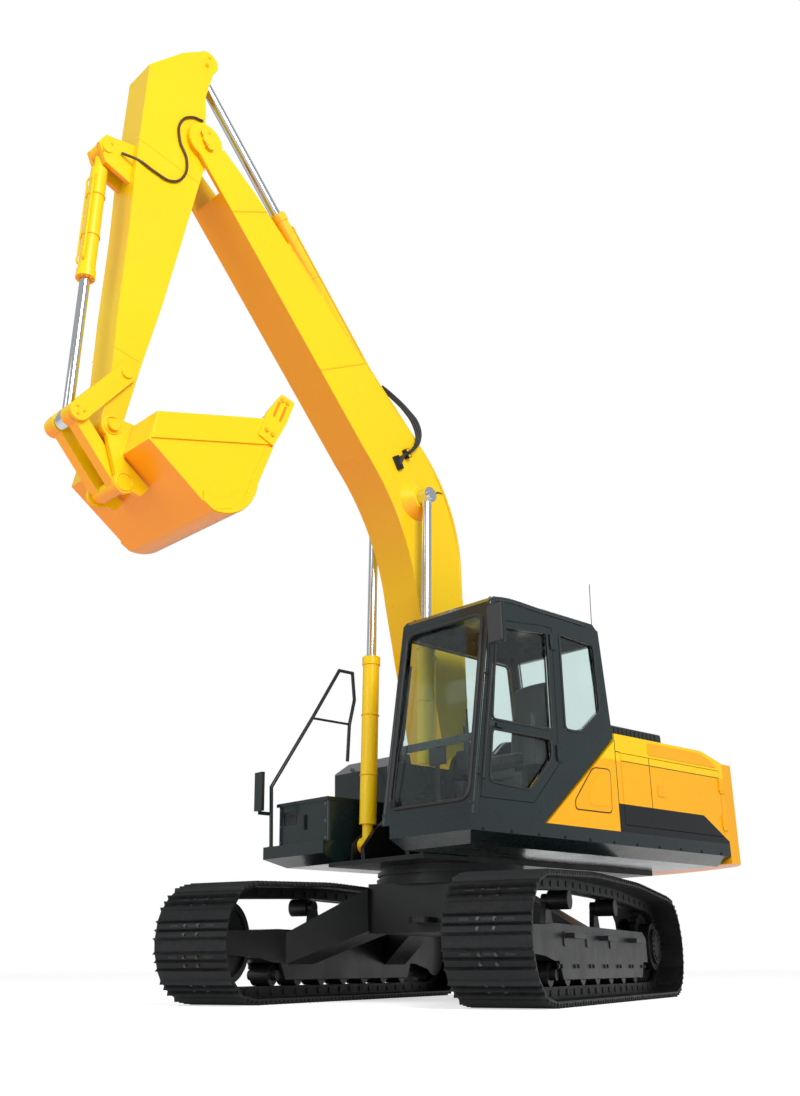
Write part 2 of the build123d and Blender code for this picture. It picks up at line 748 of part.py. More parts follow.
with BuildPart() as cab_door:
    slab(side(cab_left - door_thickness / 2), door_outline, door_thickness)
    for window in (door_window_high, door_window_low):
        slab(side(cab_left - door_thickness / 2), window, door_thickness + 2, mode=Mode.SUBTRACT)
    for z in door_hinge_heights:
        drum(Plane.XY.offset(z), (door_hinge_x, cab_left + door_hinge_out), knuckle_radius, knuckle_length)
        drum(Plane.XY.offset(z), (door_hinge_x, cab_left + door_hinge_out), hinge_pin + pin_clearance,
             knuckle_length + 2, mode=Mode.SUBTRACT)
    block((860, cab_left, 1900), (930, cab_left + 22, 1935))
finish("cab_door", cab_door)

with BuildPart() as door_glass:
    for window in (door_window_high, door_window_low):
        slab(side(cab_left - door_thickness / 2), shrink(window, seat_gap), glass_thickness)
finish("door_glass", door_glass)

with BuildPart() as cab_glass:
    slab(side(cab_left - cab_wall / 2), shrink(rear_window, seat_gap), glass_thickness)
    slab(side(cab_right + cab_wall / 2), shrink(right_window, seat_gap), glass_thickness)
    rear_pane = [
        (rear_wall(rear_low) + 20, rear_low + seat_gap), (rear_wall(rear_low) + 28, rear_low + seat_gap),
        (rear_wall(rear_high) + 28, rear_high - seat_gap), (rear_wall(rear_high) + 20, rear_high - seat_gap),
    ]
    slab(side(cab_middle), rear_pane, cab_width - 180 - 2 * seat_gap)
finish("cab_glass", cab_glass)

with BuildPart() as windscreen:
    low = (cab_front_foot - 30, deck_top + 90 + seat_gap)
    high = (cab_front_head - 22, cab_roof_bottom - 70 - seat_gap)
    pane = [low, (low[0] + glass_thickness, low[1]), (high[0] + glass_thickness, high[1]), high]
    slab(side(cab_middle), pane, cab_width - 2 * cab_wall - 2 * seat_gap)
finish("windscreen", windscreen)

with BuildPart() as seat:
    block((-40, cab_middle - 250, 1700), (430, cab_middle + 250, 1830))
    back = [(-110, 1780), (20, 1780), (-100, 2480), (-210, 2480)]
    slab(side(cab_middle), back, 480)
    slab(side(cab_middle), [(0, slope(0)), (380, slope(380)), (380, 1700), (0, 1700)], 360)
finish("seat", seat)

with BuildPart() as controls:
    for edge in (-1, 1):
        block((-40, cab_middle + edge * 350 - 60, 1701), (420, cab_middle + edge * 350 + 60, 1900))
        stand = [(60, slope(60)), (300, slope(300)), (300, 1701), (60, 1701)]
        slab(side(cab_middle + edge * 350), stand, 100)
        with Locations((360, cab_middle + edge * 350, 2000)):
            Cylinder(22, 200)
    for edge in (-1, 1):
        block((900, cab_middle + edge * 70 - 50, deck_top + 50.3), (1000, cab_middle + edge * 70 + 50, 1400))
finish("controls", controls)

with BuildPart() as mirrors:
    block((985, cab_left + 50, 2500), (1015, cab_left + 200, 2801))
    block((905, cab_left + seat_gap, 2800), (925, cab_left + 61, 2820))
    block((905, cab_left + 45, 2800), (1015, cab_left + 61, 2820))
    block((1010, -1400, 1560), (1040, -1290, 1900))
    block((906.5, -1362, 1530), (1025, -1346, 1561))
finish("mirrors", mirrors)

# Boom: curved box girder with a wide foot and a forked tip

boom_plane = tilted(boom_foot, boom_angle)

with BuildPart() as boom:
    with BuildSketch(boom_plane):
        with BuildLine():
            top_fall = Line((5610, 165), (5190, 327))
            top_run = Line((5190, 327), (3000, 1003))
            ThreePointArc((3000, 1003), (2230, 1158), (1500, 972))
            Line((1500, 972), (-75, 105))
            Line((-75, 105), (55, -118))
            Line((55, -118), (1500, 345))
            ThreePointArc((1500, 345), (2100, 478), (2800, 412))
            Line((2800, 412), (5600, -125))
            Line((5600, -125), (5610, 165))
        make_face()
        Circle(boom_foot_radius)
        with Locations((boom_length, 0)):
            Circle(165)
    extrude(amount=boom_half, both=True)
    drum(boom_plane, (0, 0), boom_foot_radius, 2 * boom_foot_half)
    fork = [(5250, -400), (6000, -400), (6000, 500), (5250, 500)]
    slab(boom_plane, fork, 2 * fork_half, mode=Mode.SUBTRACT)
    drum(boom_plane, (0, 0), pin_radius + pin_clearance, 2 * boom_foot_half + 2, mode=Mode.SUBTRACT)
    drum(boom_plane, (boom_length, 0), pin_radius, 2 * boom_half + 60)
    with BuildSketch(boom_plane.offset(boom_half), boom_plane.offset(-boom_half)) as boss_foot:
        with Locations(boss_at):
            Circle(190)
    with BuildSketch(boom_plane.offset(boom_ram_y - ram_eye_half - side_gap),
                     boom_plane.offset(-boom_ram_y + ram_eye_half + side_gap)) as boss_end:
        with Locations(boss_at):
            Circle(100)
    for k in (0, 1):
        loft([boss_foot.sketch.faces()[k], boss_end.sketch.faces()[k]])
    for edge in (-1, 1):
        lug = [(2930, 940), (3250, 880), (3220, 1070), (3120, 1045 + 85), (3030, 1090)]
        slab(boom_plane.offset(edge * (ram_eye_half + side_gap + ear_thickness / 2)), lug, ear_thickness)
    drum(boom_plane, arm_ram_foot, pin_radius, 2 * (ram_eye_half + side_gap + ear_thickness) + 12)
finish("boom", boom)


def above(start, end, run, height):
    """Point over a straight run of the boom's top."""
    length = hypot(end[0] - start[0], end[1] - start[1])
    along = ((end[0] - start[0]) / length, (end[1] - start[1]) / length)
    return (start[0] + run * along[0] - height * along[1], start[1] + run * along[1] + height * along[0])


rear_run = ((-75, 105), (1500, 972))
front_run = ((3000, 1003), (5190, 327))
pipe_corner = (2080, 1339)
pipe_bend = 1480
clamp_places = [(rear_run, 620), (rear_run, 1500), (front_run, 420), (front_run, 1250), (front_run, 1760)]

with BuildPart() as boom_pipes:
    for (start, end), run in clamp_places:
        for edge in (-1, 1):
            clamp = [above(start, end, run, seat_gap), above(start, end, run + 50, seat_gap),
                     above(start, end, run + 50, pipe_lift), above(start, end, run, pipe_lift)]
            slab(boom_plane.offset(edge * (pipe_rows[2] + pipe_rows[3]) / 2), clamp, 90)
    for row in pipe_rows:
        with BuildLine(boom_plane.offset(row)) as pipe_line:
            FilletPolyline(above(*rear_run, 560, pipe_lift), pipe_corner,
                           above(*front_run, 1820, pipe_lift), radius=pipe_bend)
        with BuildSketch(Plane(origin=pipe_line.line @ 0, z_dir=pipe_line.line % 0)) as tube:
            Circle(pipe_radius)
        sweep(tube.sketch, path=pipe_line.line)
finish("boom_pipes", boom_pipes)


def ram_barrel(foot, aim, y, length, radius, rod_radius):
    """Cylinder tube from its foot eye to its gland, bored for the rod."""
    lean = degrees(atan2(aim[1] - foot[1], aim[0] - foot[0]))
    plane = tilted(foot, lean, y)
    drum(plane, (0, 0), eye_radius, 2 * ram_eye_half)
    start = Plane(origin=plane.origin, x_dir=(0, 1, 0), z_dir=plane.x_dir)
    bar(start, neck_radius, neck_length)
    bar(start.offset(neck_length), radius, length - neck_length)
    bar(start.offset(length - gland_length), radius + 8, gland_length)
    drum(plane, (0, 0), pin_radius + pin_clearance, 2 * ram_eye_half + 2, mode=Mode.SUBTRACT)
    bar(start.offset(neck_length + barrel_floor), rod_radius + pin_clearance, length, mode=Mode.SUBTRACT)


def ram_rod(foot, eye, y, length, rod_radius, stub):
    """Rod from inside the tube to its eye, with the pin's ends fixed in the eye."""
    lean = degrees(atan2(eye[1] - foot[1], eye[0] - foot[0]))
    plane = tilted(eye, lean, y)
    drum(plane, (0, 0), eye_radius, 2 * ram_eye_half)
    start = Plane(origin=plane.origin, x_dir=(0, 1, 0), z_dir=-plane.x_dir)
    bar(start, rod_radius, length)
    for low, high in stub:
        middle = (plane.origin.X, (low + high) / 2, plane.origin.Z)
        drum(Plane(origin=middle, x_dir=plane.x_dir, z_dir=(0, -1, 0)),
             (0, 0), pin_radius, high - low)


with BuildPart() as boom_barrels:
    for edge in (-1, 1):
        ram_barrel(boom_ram_foot, boss_place, edge * boom_ram_y, boom_barrel, boom_barrel_radius, boom_rod_radius)
finish("boom_cylinder_barrels", boom_barrels)

with BuildPart() as boom_rods:
    for edge in (-1, 1):
        ends = sorted((edge * (boom_ram_y + ram_eye_half - 1), edge * (boom_ram_y + ram_eye_half + 18)))
        ram_rod(boom_ram_foot, boss_place, edge * boom_ram_y, 1460, boom_rod_radius, [ends])
finish("boom_cylinder_rods", boom_rods)

with BuildPart() as arm_barrel_part:
    ram_barrel(arm_ram_place, tail_place, 0, arm_barrel, arm_barrel_radius, arm_rod_radius)
finish("arm_cylinder_barrel", arm_barrel_part)

with BuildPart() as arm_rod_part:
    ram_rod(arm_ram_place, tail_place, 0, 1510, arm_rod_radius, [])
finish("arm_cylinder_rod", arm_rod_part)

# Arm: tapered box girder, its tail open for the cylinder eye

arm_plane = tilted(boom_tip, arm_angle)

with BuildPart() as arm:
    with BuildSketch(arm_plane):
        with BuildLine():
            Polyline((-366, 655), (-736, 425), (-930, 250), (-900, 110), (-465, 110), (-311, 60), (259, -76),
                     (1701, -96), (arm_length - 625, -85), (arm_length - 40, -88), (arm_length + 20, 85),
                     (arm_length - 333, 100), (1970, 229), (1221, 362),
                     (723, 465), (247, 549), close=True)
        make_face()
        Circle(170)
        with Locations((arm_length, 0)):
            Circle(92)
        with Locations(arm_tail_eye):
            Circle(105)
    extrude(amount=arm_half, both=True)
    drum(arm_plane, (0, 0), 170, 2 * arm_boss_half)
    pocket = [(-1100, -100), (-500, -100), (-500, 900), (-1100, 900)]
    slab(arm_plane, pocket, 2 * (arm_half - 22), mode=Mode.SUBTRACT)
    for edge in (-1, 1):
        boss_y = (ram_eye_half + side_gap + arm_half) / 2
        drum(arm_plane.offset(edge * boss_y), arm_tail_eye, 70, arm_half - ram_eye_half - side_gap)
        lug = [(420, 480), (800, 420), (760, 690), (626, 713 + 82), (520, 760)]
        slab(arm_plane.offset(edge * (ram_eye_half + side_gap + ear_thickness / 2)), lug, ear_thickness)
    drum(arm_plane, bucket_ram_foot, pin_radius, 2 * (ram_eye_half + side_gap + ear_thickness) + 20)
    drum(arm_plane, (0, 0), pin_radius + pin_clearance, 2 * arm_boss_half + 2, mode=Mode.SUBTRACT)
    drum(arm_plane, (arm_length, 0), pin_radius + pin_clearance, 2 * arm_half + 2, mode=Mode.SUBTRACT)
    drum(arm_plane, guide_pivot, pin_radius + pin_clearance, 2 * arm_half + 2, mode=Mode.SUBTRACT)
finish("arm", arm)

with BuildPart() as bucket_barrel_part:
    ram_barrel(bucket_ram_place, rod_place, 0, bucket_barrel, bucket_barrel_radius, bucket_rod_radius)
finish("bucket_cylinder_barrel", bucket_barrel_part)

with BuildPart() as bucket_rod_part:
    ram_rod(bucket_ram_place, rod_place, 0, 1315, bucket_rod_radius, [])
finish("bucket_cylinder_rod", bucket_rod_part)

link_y = arm_half + side_gap + 17

with BuildPart() as guide_links:
    for edge in (-1, 1):
        plane = arm_plane.offset(edge * link_y)
        strut(plane, guide_pivot, rod_pivot, 150, 34)
        drum(arm_plane.offset(edge * (ram_eye_half + 8 + link_y + 17) / 2),
             rod_pivot, pin_radius, link_y + 17 - ram_eye_half - 8)
    drum(arm_plane, guide_pivot, pin_radius, 2 * (link_y + 30))
finish("guide_links", guide_links)

with BuildPart() as bucket_link:
    for edge in (-1, 1):
        arm_y = (ram_eye_half + 10 + arm_half) / 2
        plane = arm_plane.offset(edge * arm_y)
        strut(plane, rod_pivot, link_pivot, 110, arm_half - ram_eye_half - 10)
        drum(plane, rod_pivot, link_eye_radius, arm_half - ram_eye_half - 10)
    drum(arm_plane, link_pivot, link_foot_radius, 2 * arm_half)
    for edge in (-1, 1):
        drum(arm_plane.offset(edge * (ram_eye_half + 10 + arm_half) / 2),
             rod_pivot, pin_radius + pin_clearance, 200, mode=Mode.SUBTRACT)
finish("bucket_link", bucket_link)

# Bucket: rolled shell between two side plates, ears for the arm and the link, lip, teeth and side cutters

bucket_plane = tilted(bucket_pin, 0)
lip_corner = (-1277, 325)
lip_lean = 111.4


with BuildPart() as bucket:
    with BuildSketch(bucket_plane):
        with BuildLine():
            Line((-147, 29), lip_corner)
            Line(lip_corner, (-1040, -280))
            ThreePointArc((-1040, -280), (-905, -530), (-640, -600))
            Line((-640, -600), (-97, -201))
            Line((-97, -201), (-147, 29))
        make_face()
    extrude(amount=bucket_half, both=True)
    with BuildSketch(bucket_plane):
        with BuildLine():
            Line((-160, 60), (-1340, 360))
            Line((-1340, 360), (-1248, 318))
            Line((-1248, 318), (-1015, -275))
            ThreePointArc((-1015, -275), (-886, -508), (-645, -570))
            Line((-645, -570), (-124, -190))
            Line((-124, -190), (-160, 60))
        make_face()
    extrude(amount=bucket_half - bucket_plate, both=True, mode=Mode.SUBTRACT)
    link_offset = (link_place[0] - bucket_pin[0], link_place[1] - bucket_pin[1])
    for edge in (-1, 1):
        plane = bucket_plane.offset(edge * (arm_half + side_gap + ear_thickness / 2))
        ear = [(-30, 70), (-260, 50), (-130, -60), (-110, -230), (-330, -400), (-260, -480), (-70, -430), (60, -40)]
        slab(plane, ear, ear_thickness)
        drum(plane, (0, 0), 92, ear_thickness)
        drum(plane, link_offset, 85, ear_thickness)
        drum(plane, (0, 0), pin_radius, ear_thickness + 60)
    drum(bucket_plane, (0, 0), pin_radius, 2 * arm_half + 20)
    tooth_plane = Plane(origin=bucket_plane.from_local_coords((lip_corner[0], lip_corner[1], 0)),
                        x_dir=(cos(radians(lip_lean)), 0, sin(radians(lip_lean))), z_dir=(0, -1, 0))
    for k in range(tooth_count):
        y = (k - (tooth_count - 1) / 2) * (2 * bucket_half - 120) / (tooth_count - 1)
        tooth = [(-120, -4), (0, -40), (195, -14), (195, -6), (0, 25), (-120, 2)]
        slab(tooth_plane.offset(y), tooth, 85)
    for edge in (-1, 1):
        cutter = [(-290, -10), (-290, -160), (-60, -170), (170, -110), (185, 20), (-40, 20)]
        slab(tooth_plane.offset(edge * (bucket_half + cutter_thickness / 2)), cutter, cutter_thickness, 12)
        heel = [(-925, -425), (-800, -545), (-640, -592), (-560, -545),
                (-560, -470), (-650, -510), (-770, -470), (-860, -385)]
        slab(bucket_plane.offset(edge * (bucket_half + wear_strip / 2)), heel, wear_strip)
finish("bucket", bucket)
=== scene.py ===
import json
from math import asin, atan2, cos, hypot, pi, radians, sin

import bmesh
import bpy
from mathutils import Matrix, Vector


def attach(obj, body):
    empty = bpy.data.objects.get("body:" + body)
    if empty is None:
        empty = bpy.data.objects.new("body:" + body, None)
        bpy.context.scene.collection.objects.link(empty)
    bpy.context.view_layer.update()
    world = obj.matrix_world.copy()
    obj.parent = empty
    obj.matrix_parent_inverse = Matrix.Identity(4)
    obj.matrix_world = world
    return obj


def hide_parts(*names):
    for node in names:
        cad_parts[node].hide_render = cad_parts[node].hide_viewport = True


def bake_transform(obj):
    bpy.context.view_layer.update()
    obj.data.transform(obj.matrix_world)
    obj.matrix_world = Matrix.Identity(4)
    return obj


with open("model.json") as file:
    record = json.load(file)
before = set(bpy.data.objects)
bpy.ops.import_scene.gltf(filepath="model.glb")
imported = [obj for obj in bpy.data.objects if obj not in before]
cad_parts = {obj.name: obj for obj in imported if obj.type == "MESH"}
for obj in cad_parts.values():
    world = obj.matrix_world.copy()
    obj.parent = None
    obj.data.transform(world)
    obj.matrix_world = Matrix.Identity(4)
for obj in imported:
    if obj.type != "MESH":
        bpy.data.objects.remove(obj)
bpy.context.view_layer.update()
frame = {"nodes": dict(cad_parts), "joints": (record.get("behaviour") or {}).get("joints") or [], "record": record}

print("frame loaded:", len(frame["nodes"]), "nodes")

# Places that everything else hangs on, in metres
jointAt = {j["name"]: Vector(j["pos_m"]) for j in frame["joints"] if "pos_m" in j}
placeX = jointAt["slew"].x
boomFoot, boomTip, bucketPin = jointAt["boom"], jointAt["arm"], jointAt["bucket"]
slewTurn = radians(22.3)
boomTurn = atan2(boomTip.z - boomFoot.z, boomTip.x - boomFoot.x)
armTurn = atan2(bucketPin.z - boomTip.z, bucketPin.x - boomTip.x)
up = Vector((0, 0, 1))


def mach(x, y, z):  # the upper structure's own millimetres
    return Vector((placeX + x / 1000, y / 1000, z / 1000))


def onSide(x, z, y):  # the same for outlines drawn in a side view
    return mach(x, y, z)


def inLine(origin, turn, u, v, y):
    return Vector((origin.x + (u * cos(turn) - v * sin(turn)) / 1000, y / 1000,
                   origin.z + (u * sin(turn) + v * cos(turn)) / 1000))


def onBoom(u, v, y):
    return inLine(boomFoot, boomTurn, u, v, y)


def onArm(u, v, y):
    return inLine(boomTip, armTurn, u, v, y)


def onBucket(x, z, y):
    return inLine(bucketPin, 0, x, z, y)


def under(x, y, z):  # the undercarriage's own millimetres, before it is slewed
    return Vector((placeX + (x * cos(slewTurn) - y * sin(slewTurn)) / 1000,
                   (x * sin(slewTurn) + y * cos(slewTurn)) / 1000, z / 1000))


def underSide(x, z, y):
    return under(x, y, z)


def underWay(x, y, z):  # a direction on the slewed undercarriage
    return (under(x, y, z) - under(0, 0, 0)).normalized()


# Camera at floor level on the left front, looking up along the boom
view = {"place": (7182, 6968, 238), "yaw": 3.995, "pitch": 0.341, "roll": -0.004,
        "lens": 37.81, "sensor": 36, "shift": (0.0442, 0.0120), "far": 300}


def setCamera(v):
    cam = bpy.data.cameras.new("camera")
    cam.lens, cam.sensor_width, cam.clip_end = v["lens"], v["sensor"], v["far"]
    cam.shift_x, cam.shift_y = v["shift"]
    eye = bpy.data.objects.new("camera", cam)
    bpy.context.scene.collection.objects.link(eye)
    yaw, pitch, roll = v["yaw"], v["pitch"], v["roll"]
    ahead = Vector((cos(yaw) * cos(pitch), sin(yaw) * cos(pitch), sin(pitch)))
    right = Vector((sin(yaw), -cos(yaw), 0))
    head = right.cross(ahead)
    across = cos(roll) * right + sin(roll) * head
    upward = -sin(roll) * right + cos(roll) * head
    turn = Matrix((across, upward, -ahead)).transposed().to_4x4()
    eye.matrix_world = Matrix.Translation(mach(*v["place"])) @ turn
    bpy.context.scene.camera = eye


setCamera(view)

# Materials


def newMaterial(name):
    mat = bpy.data.materials.new(name)
    mat.use_nodes = True
    nodes = mat.node_tree.nodes
    return mat, nodes, mat.node_tree.links, nodes["Principled BSDF"]


def noiseOn(nodes, links, scale, detail=4, rough=0.55, stretch=(1, 1, 1)):
    coord = nodes.new("ShaderNodeTexCoord")
    mapping = nodes.new("ShaderNodeMapping")
    mapping.inputs["Scale"].default_value = stretch
    noise = nodes.new("ShaderNodeTexNoise")
    noise.inputs["Scale"].default_value = scale
    noise.inputs["Detail"].default_value = detail
    noise.inputs["Roughness"].default_value = rough
    links.new(coord.outputs["Object"], mapping.inputs["Vector"])
    links.new(mapping.outputs["Vector"], noise.inputs["Vector"])
    return noise.outputs["Fac"]


def axesOf(nodes, links, output="Object"):
    coord = nodes.new("ShaderNodeTexCoord")
    axes = nodes.new("ShaderNodeSeparateXYZ")
    links.new(coord.outputs[output], axes.inputs[0])
    return axes.outputs


def spread(nodes, links, source, low, high, fromLow=0.3, fromHigh=0.7):
    remap = nodes.new("ShaderNodeMapRange")
    for socket, value in (("From Min", fromLow), ("From Max", fromHigh), ("To Min", low), ("To Max", high)):
        remap.inputs[socket].default_value = value
    links.new(source, remap.inputs["Value"])
    return remap.outputs["Result"]


def multiplied(nodes, links, first, second):
    times = nodes.new("ShaderNodeMath")
    times.operation = "MULTIPLY"
    links.new(first, times.inputs[0])
    links.new(second, times.inputs[1])
    return times.outputs[0]


def blendColours(nodes, links, factor, first, second):
    mix = nodes.new("ShaderNodeMix")
    mix.data_type = "RGBA"
    links.new(factor, mix.inputs[0])
    for socket, value in ((mix.inputs[6], first), (mix.inputs[7], second)):
        if isinstance(value, tuple):
            socket.default_value = (*value, 1)
        else:
            links.new(value, socket)
    return mix.outputs[2]


def roughen(nodes, links, shader, height, strength, distance):
    bump = nodes.new("ShaderNodeBump")
    bump.inputs["Strength"].default_value = strength
    bump.inputs["Distance"].default_value = distance
    links.new(height, bump.inputs["Height"])
    links.new(bump.outputs["Normal"], shader.inputs["Normal"])


def coatedMetal(name, colour, shade, rough=(0.26, 0.38), coat=0.16, dust=None, paintedShadeBelow=None):  # sprayed paint
    mat, nodes, links, shader = newMaterial(name)
    cloud = noiseOn(nodes, links, 0.9, 5)
    tone = blendColours(nodes, links, spread(nodes, links, cloud, 0, 1), colour, shade)
    if dust:  # settles on what stands low
        low = spread(nodes, links, axesOf(nodes, links)["Z"], dust["amount"], 0, 0, dust["height"])
        amount = multiplied(nodes, links, low, noiseOn(nodes, links, 7, 8, 0.65))
        tone = blendColours(nodes, links, amount, tone, dust["colour"])
    if paintedShadeBelow:  # painted shade: faces that turn down get a warmer, more orange colour
        downShade = spread(nodes, links, axesOf(nodes, links, "Normal")["Z"], 1, 0, -0.8, 0.05)
        tone = blendColours(nodes, links, downShade, tone, paintedShadeBelow)
    links.new(tone, shader.inputs["Base Color"])
    smear = noiseOn(nodes, links, 4, 6)
    links.new(spread(nodes, links, smear, *rough), shader.inputs["Roughness"])
    shader.inputs["Coat Weight"].default_value = coat
    shader.inputs["Specular IOR Level"].default_value = 0.32
    shader.inputs["Coat Roughness"].default_value = 0.12
    roughen(nodes, links, shader, noiseOn(nodes, links, 260, 2), 0.06, 0.001)  # orange peel
    return mat


def bodyPaint(name, colour, shade, paintedShadeBelow, band):  # side panels with the black band along their foot
    mat = coatedMetal(name, colour, shade, paintedShadeBelow=paintedShadeBelow)
    nodes, links = mat.node_tree.nodes, mat.node_tree.links
    shader = nodes["Principled BSDF"]
    tone = shader.inputs["Base Color"].links[0].from_socket
    axes = axesOf(nodes, links)

    def below(socket, limit, sharp=0.002):
        return spread(nodes, links, socket, 1, 0, limit - sharp, limit + sharp)

    slant = nodes.new("ShaderNodeMath")  # height less the fall towards the tail
    slant.operation = "MULTIPLY_ADD"
    slant.inputs[1].default_value = -band["fall"]
    links.new(axes["X"], slant.inputs[0])
    links.new(axes["Z"], slant.inputs[2])
    # painted shade: the panel below the crease is made more orange
    tone = blendColours(nodes, links, below(axes["Z"], band["crease"], 0.006), tone, band["lower"])
    flat = multiplied(nodes, links, below(axes["Z"], band["top"]), below(axes["X"], band["front"]))
    inside = multiplied(nodes, links, flat, below(slant.outputs[0], band["cut"]))
    links.new(blendColours(nodes, links, inside, tone, band["colour"]), shader.inputs["Base Color"])
    return mat


def bareMetal(name, colour, rough=(0.05, 0.14), grain=0.02):
    mat, nodes, links, shader = newMaterial(name)
    shader.inputs["Metallic"].default_value = 1
    streak = noiseOn(nodes, links, 18, 6, 0.6)
    worn = tuple(c * 0.86 for c in colour)
    links.new(blendColours(nodes, links, streak, colour, worn), shader.inputs["Base Color"])
    links.new(spread(nodes, links, streak, *rough), shader.inputs["Roughness"])
    roughen(nodes, links, shader, streak, grain, 0.0005)
    return mat


def rolledSteel(name, colour, worn, dust):  # dark shoes with rubbed grousers and dried soil
    mat, nodes, links, shader = newMaterial(name)
    scale = noiseOn(nodes, links, 22, 8, 0.7)
    rub = noiseOn(nodes, links, 3, 6, 0.6, (1, 1, 6))
    tone = blendColours(nodes, links, spread(nodes, links, scale, 0, 1), colour, worn)
    tone = blendColours(nodes, links, spread(nodes, links, rub, 0, 0.45, 0.5, 0.75), tone, dust)
    links.new(tone, shader.inputs["Base Color"])
    shader.inputs["Metallic"].default_value = 0.55
    links.new(spread(nodes, links, scale, 0.38, 0.62), shader.inputs["Roughness"])
    roughen(nodes, links, shader, scale, 0.25, 0.002)
    return mat


def softSurface(name, colour, shade, rough, scale, depth):  # moulded plastic and rubber
    mat, nodes, links, shader = newMaterial(name)
    grain = noiseOn(nodes, links, scale, 3)
    links.new(blendColours(nodes, links, grain, colour, shade), shader.inputs["Base Color"])
    cloud = noiseOn(nodes, links, 6, 4)
    links.new(spread(nodes, links, cloud, rough - 0.07, rough + 0.07), shader.inputs["Roughness"])
    roughen(nodes, links, shader, grain, 0.3, depth)
    return mat


def wovenCloth(name, colour, shade, threads):
    mat, nodes, links, shader = newMaterial(name)
    coord = nodes.new("ShaderNodeTexCoord")
    heights = []
    for axis in ("X", "Y"):
        wave = nodes.new("ShaderNodeTexWave")
        wave.bands_direction = axis
        wave.inputs["Scale"].default_value = threads
        wave.inputs["Distortion"].default_value = 0.4
        links.new(coord.outputs["Object"], wave.inputs["Vector"])
        heights.append(wave.outputs["Fac"])
    weave = multiplied(nodes, links, *heights)
    links.new(blendColours(nodes, links, weave, shade, colour), shader.inputs["Base Color"])
    shader.inputs["Roughness"].default_value = 0.85
    shader.inputs["Sheen Weight"].default_value = 0.3
    roughen(nodes, links, shader, weave, 0.4, 0.001)
    return mat


def clearPane(name, tint, rough=0.02):
    mat, nodes, links, shader = newMaterial(name)
    film = noiseOn(nodes, links, 1.4, 3)
    faint = tuple(c * 0.93 for c in tint)
    links.new(blendColours(nodes, links, film, tint, faint), shader.inputs["Base Color"])
    links.new(spread(nodes, links, film, rough, rough + 0.025), shader.inputs["Roughness"])
    shader.inputs["Transmission Weight"].default_value = 1
    shader.inputs["IOR"].default_value = 1.3
    return mat


# the third colour is painted shade, put on faces that turn down
yellow, deepYellow, undersideShade = (0.93, 0.63, 0.003), (0.92, 0.59, 0.003), (0.90, 0.27, 0.002)
chassisDust = {"amount": 0.09, "height": 0.9, "colour": (0.16, 0.14, 0.11)}
band = {"top": 1.474, "front": placeX - 0.49, "fall": 0.55, "tail": placeX - 1.69,
        "colour": (0.006, 0.007, 0.008), "crease": 1.818, "lower": (0.93, 0.43, 0.003)}
band["cut"] = band["top"] - band["fall"] * band["tail"]

bodyYellow = coatedMetal("bodyYellow", yellow, deepYellow, paintedShadeBelow=undersideShade)
sideYellow = bodyPaint("sideYellow", yellow, deepYellow, undersideShade, band)
tailYellow = coatedMetal("tailYellow", (0.93, 0.44, 0.004), (0.90, 0.40, 0.004), paintedShadeBelow=undersideShade)
boltYellow = coatedMetal("boltYellow", (0.88, 0.46, 0.004), (0.80, 0.38, 0.004), (0.35, 0.5), 0.1)
cutterShade = coatedMetal("cutterShade", (0.80, 0.26, 0.003), (0.74, 0.22, 0.003), (0.4, 0.55), 0.1)
seamShade = coatedMetal("seamShade", (0.05, 0.035, 0.006), (0.03, 0.022, 0.004), (0.6, 0.75), 0.0)
cabGreen = coatedMetal("cabGreen", (0.010, 0.021, 0.021), (0.007, 0.015, 0.0155), (0.22, 0.32), 0.5)
chassisBlack = coatedMetal("chassisBlack", (0.006, 0.007, 0.008), (0.010, 0.011, 0.011), (0.32, 0.48), 0.15,
                           chassisDust)
engineGrey = coatedMetal("engineGrey", (0.15, 0.16, 0.17), (0.10, 0.11, 0.12), (0.45, 0.6), 0.0)
trackSteel = rolledSteel("trackSteel", (0.007, 0.009, 0.010), (0.022, 0.023, 0.024), (0.032, 0.028, 0.023))
rodChrome = bareMetal("rodChrome", (0.78, 0.80, 0.83))
boltSteel = bareMetal("boltSteel", (0.32, 0.33, 0.34), (0.25, 0.4), 0.1)
shoeBolt = bareMetal("shoeBolt", (0.09, 0.09, 0.095), (0.35, 0.5), 0.1)
mirrorFace = bareMetal("mirrorFace", (0.86, 0.88, 0.9), (0.01, 0.03))
cabGlass = clearPane("cabGlass", (0.80, 0.90, 0.885))
lampGlass = clearPane("lampLens", (0.9, 0.92, 0.95), 0.08)
seatFabric = wovenCloth("seatFabric", (0.045, 0.046, 0.050), (0.018, 0.018, 0.02), 190)
cabPlastic = softSurface("cabPlastic", (0.035, 0.038, 0.042), (0.025, 0.027, 0.03), 0.55, 420, 0.0006)
rubberBlack = softSurface("rubberBlack", (0.016, 0.016, 0.017), (0.024, 0.024, 0.024), 0.62, 160, 0.0008)
hoseBrown = softSurface("hoseBrown", (0.075, 0.034, 0.012), (0.045, 0.022, 0.01), 0.5, 120, 0.0006)

finishes = {"body_yellow": bodyYellow, "cab_green": cabGreen, "chassis_black": chassisBlack,
            "track_steel": trackSteel, "engine_grey": engineGrey, "rod_chrome": rodChrome,
            "cab_glass": cabGlass, "seat_fabric": seatFabric, "cab_plastic": cabPlastic}
ownFinish = {"housing_left": sideYellow, "side_door_left": sideYellow, "counterweight": tailYellow}
slotOf = {part["node"]: part["material_slot"] for part in frame["record"]["subparts"]}
for nodeName, piece in frame["nodes"].items():
    mat = ownFinish.get(nodeName, finishes[slotOf[nodeName]])
    if not piece.material_slots:
        piece.data.materials.append(mat)
    for place in piece.material_slots:
        place.material = mat
print("materials on", len(frame["nodes"]), "nodes")

# Ways of making pieces


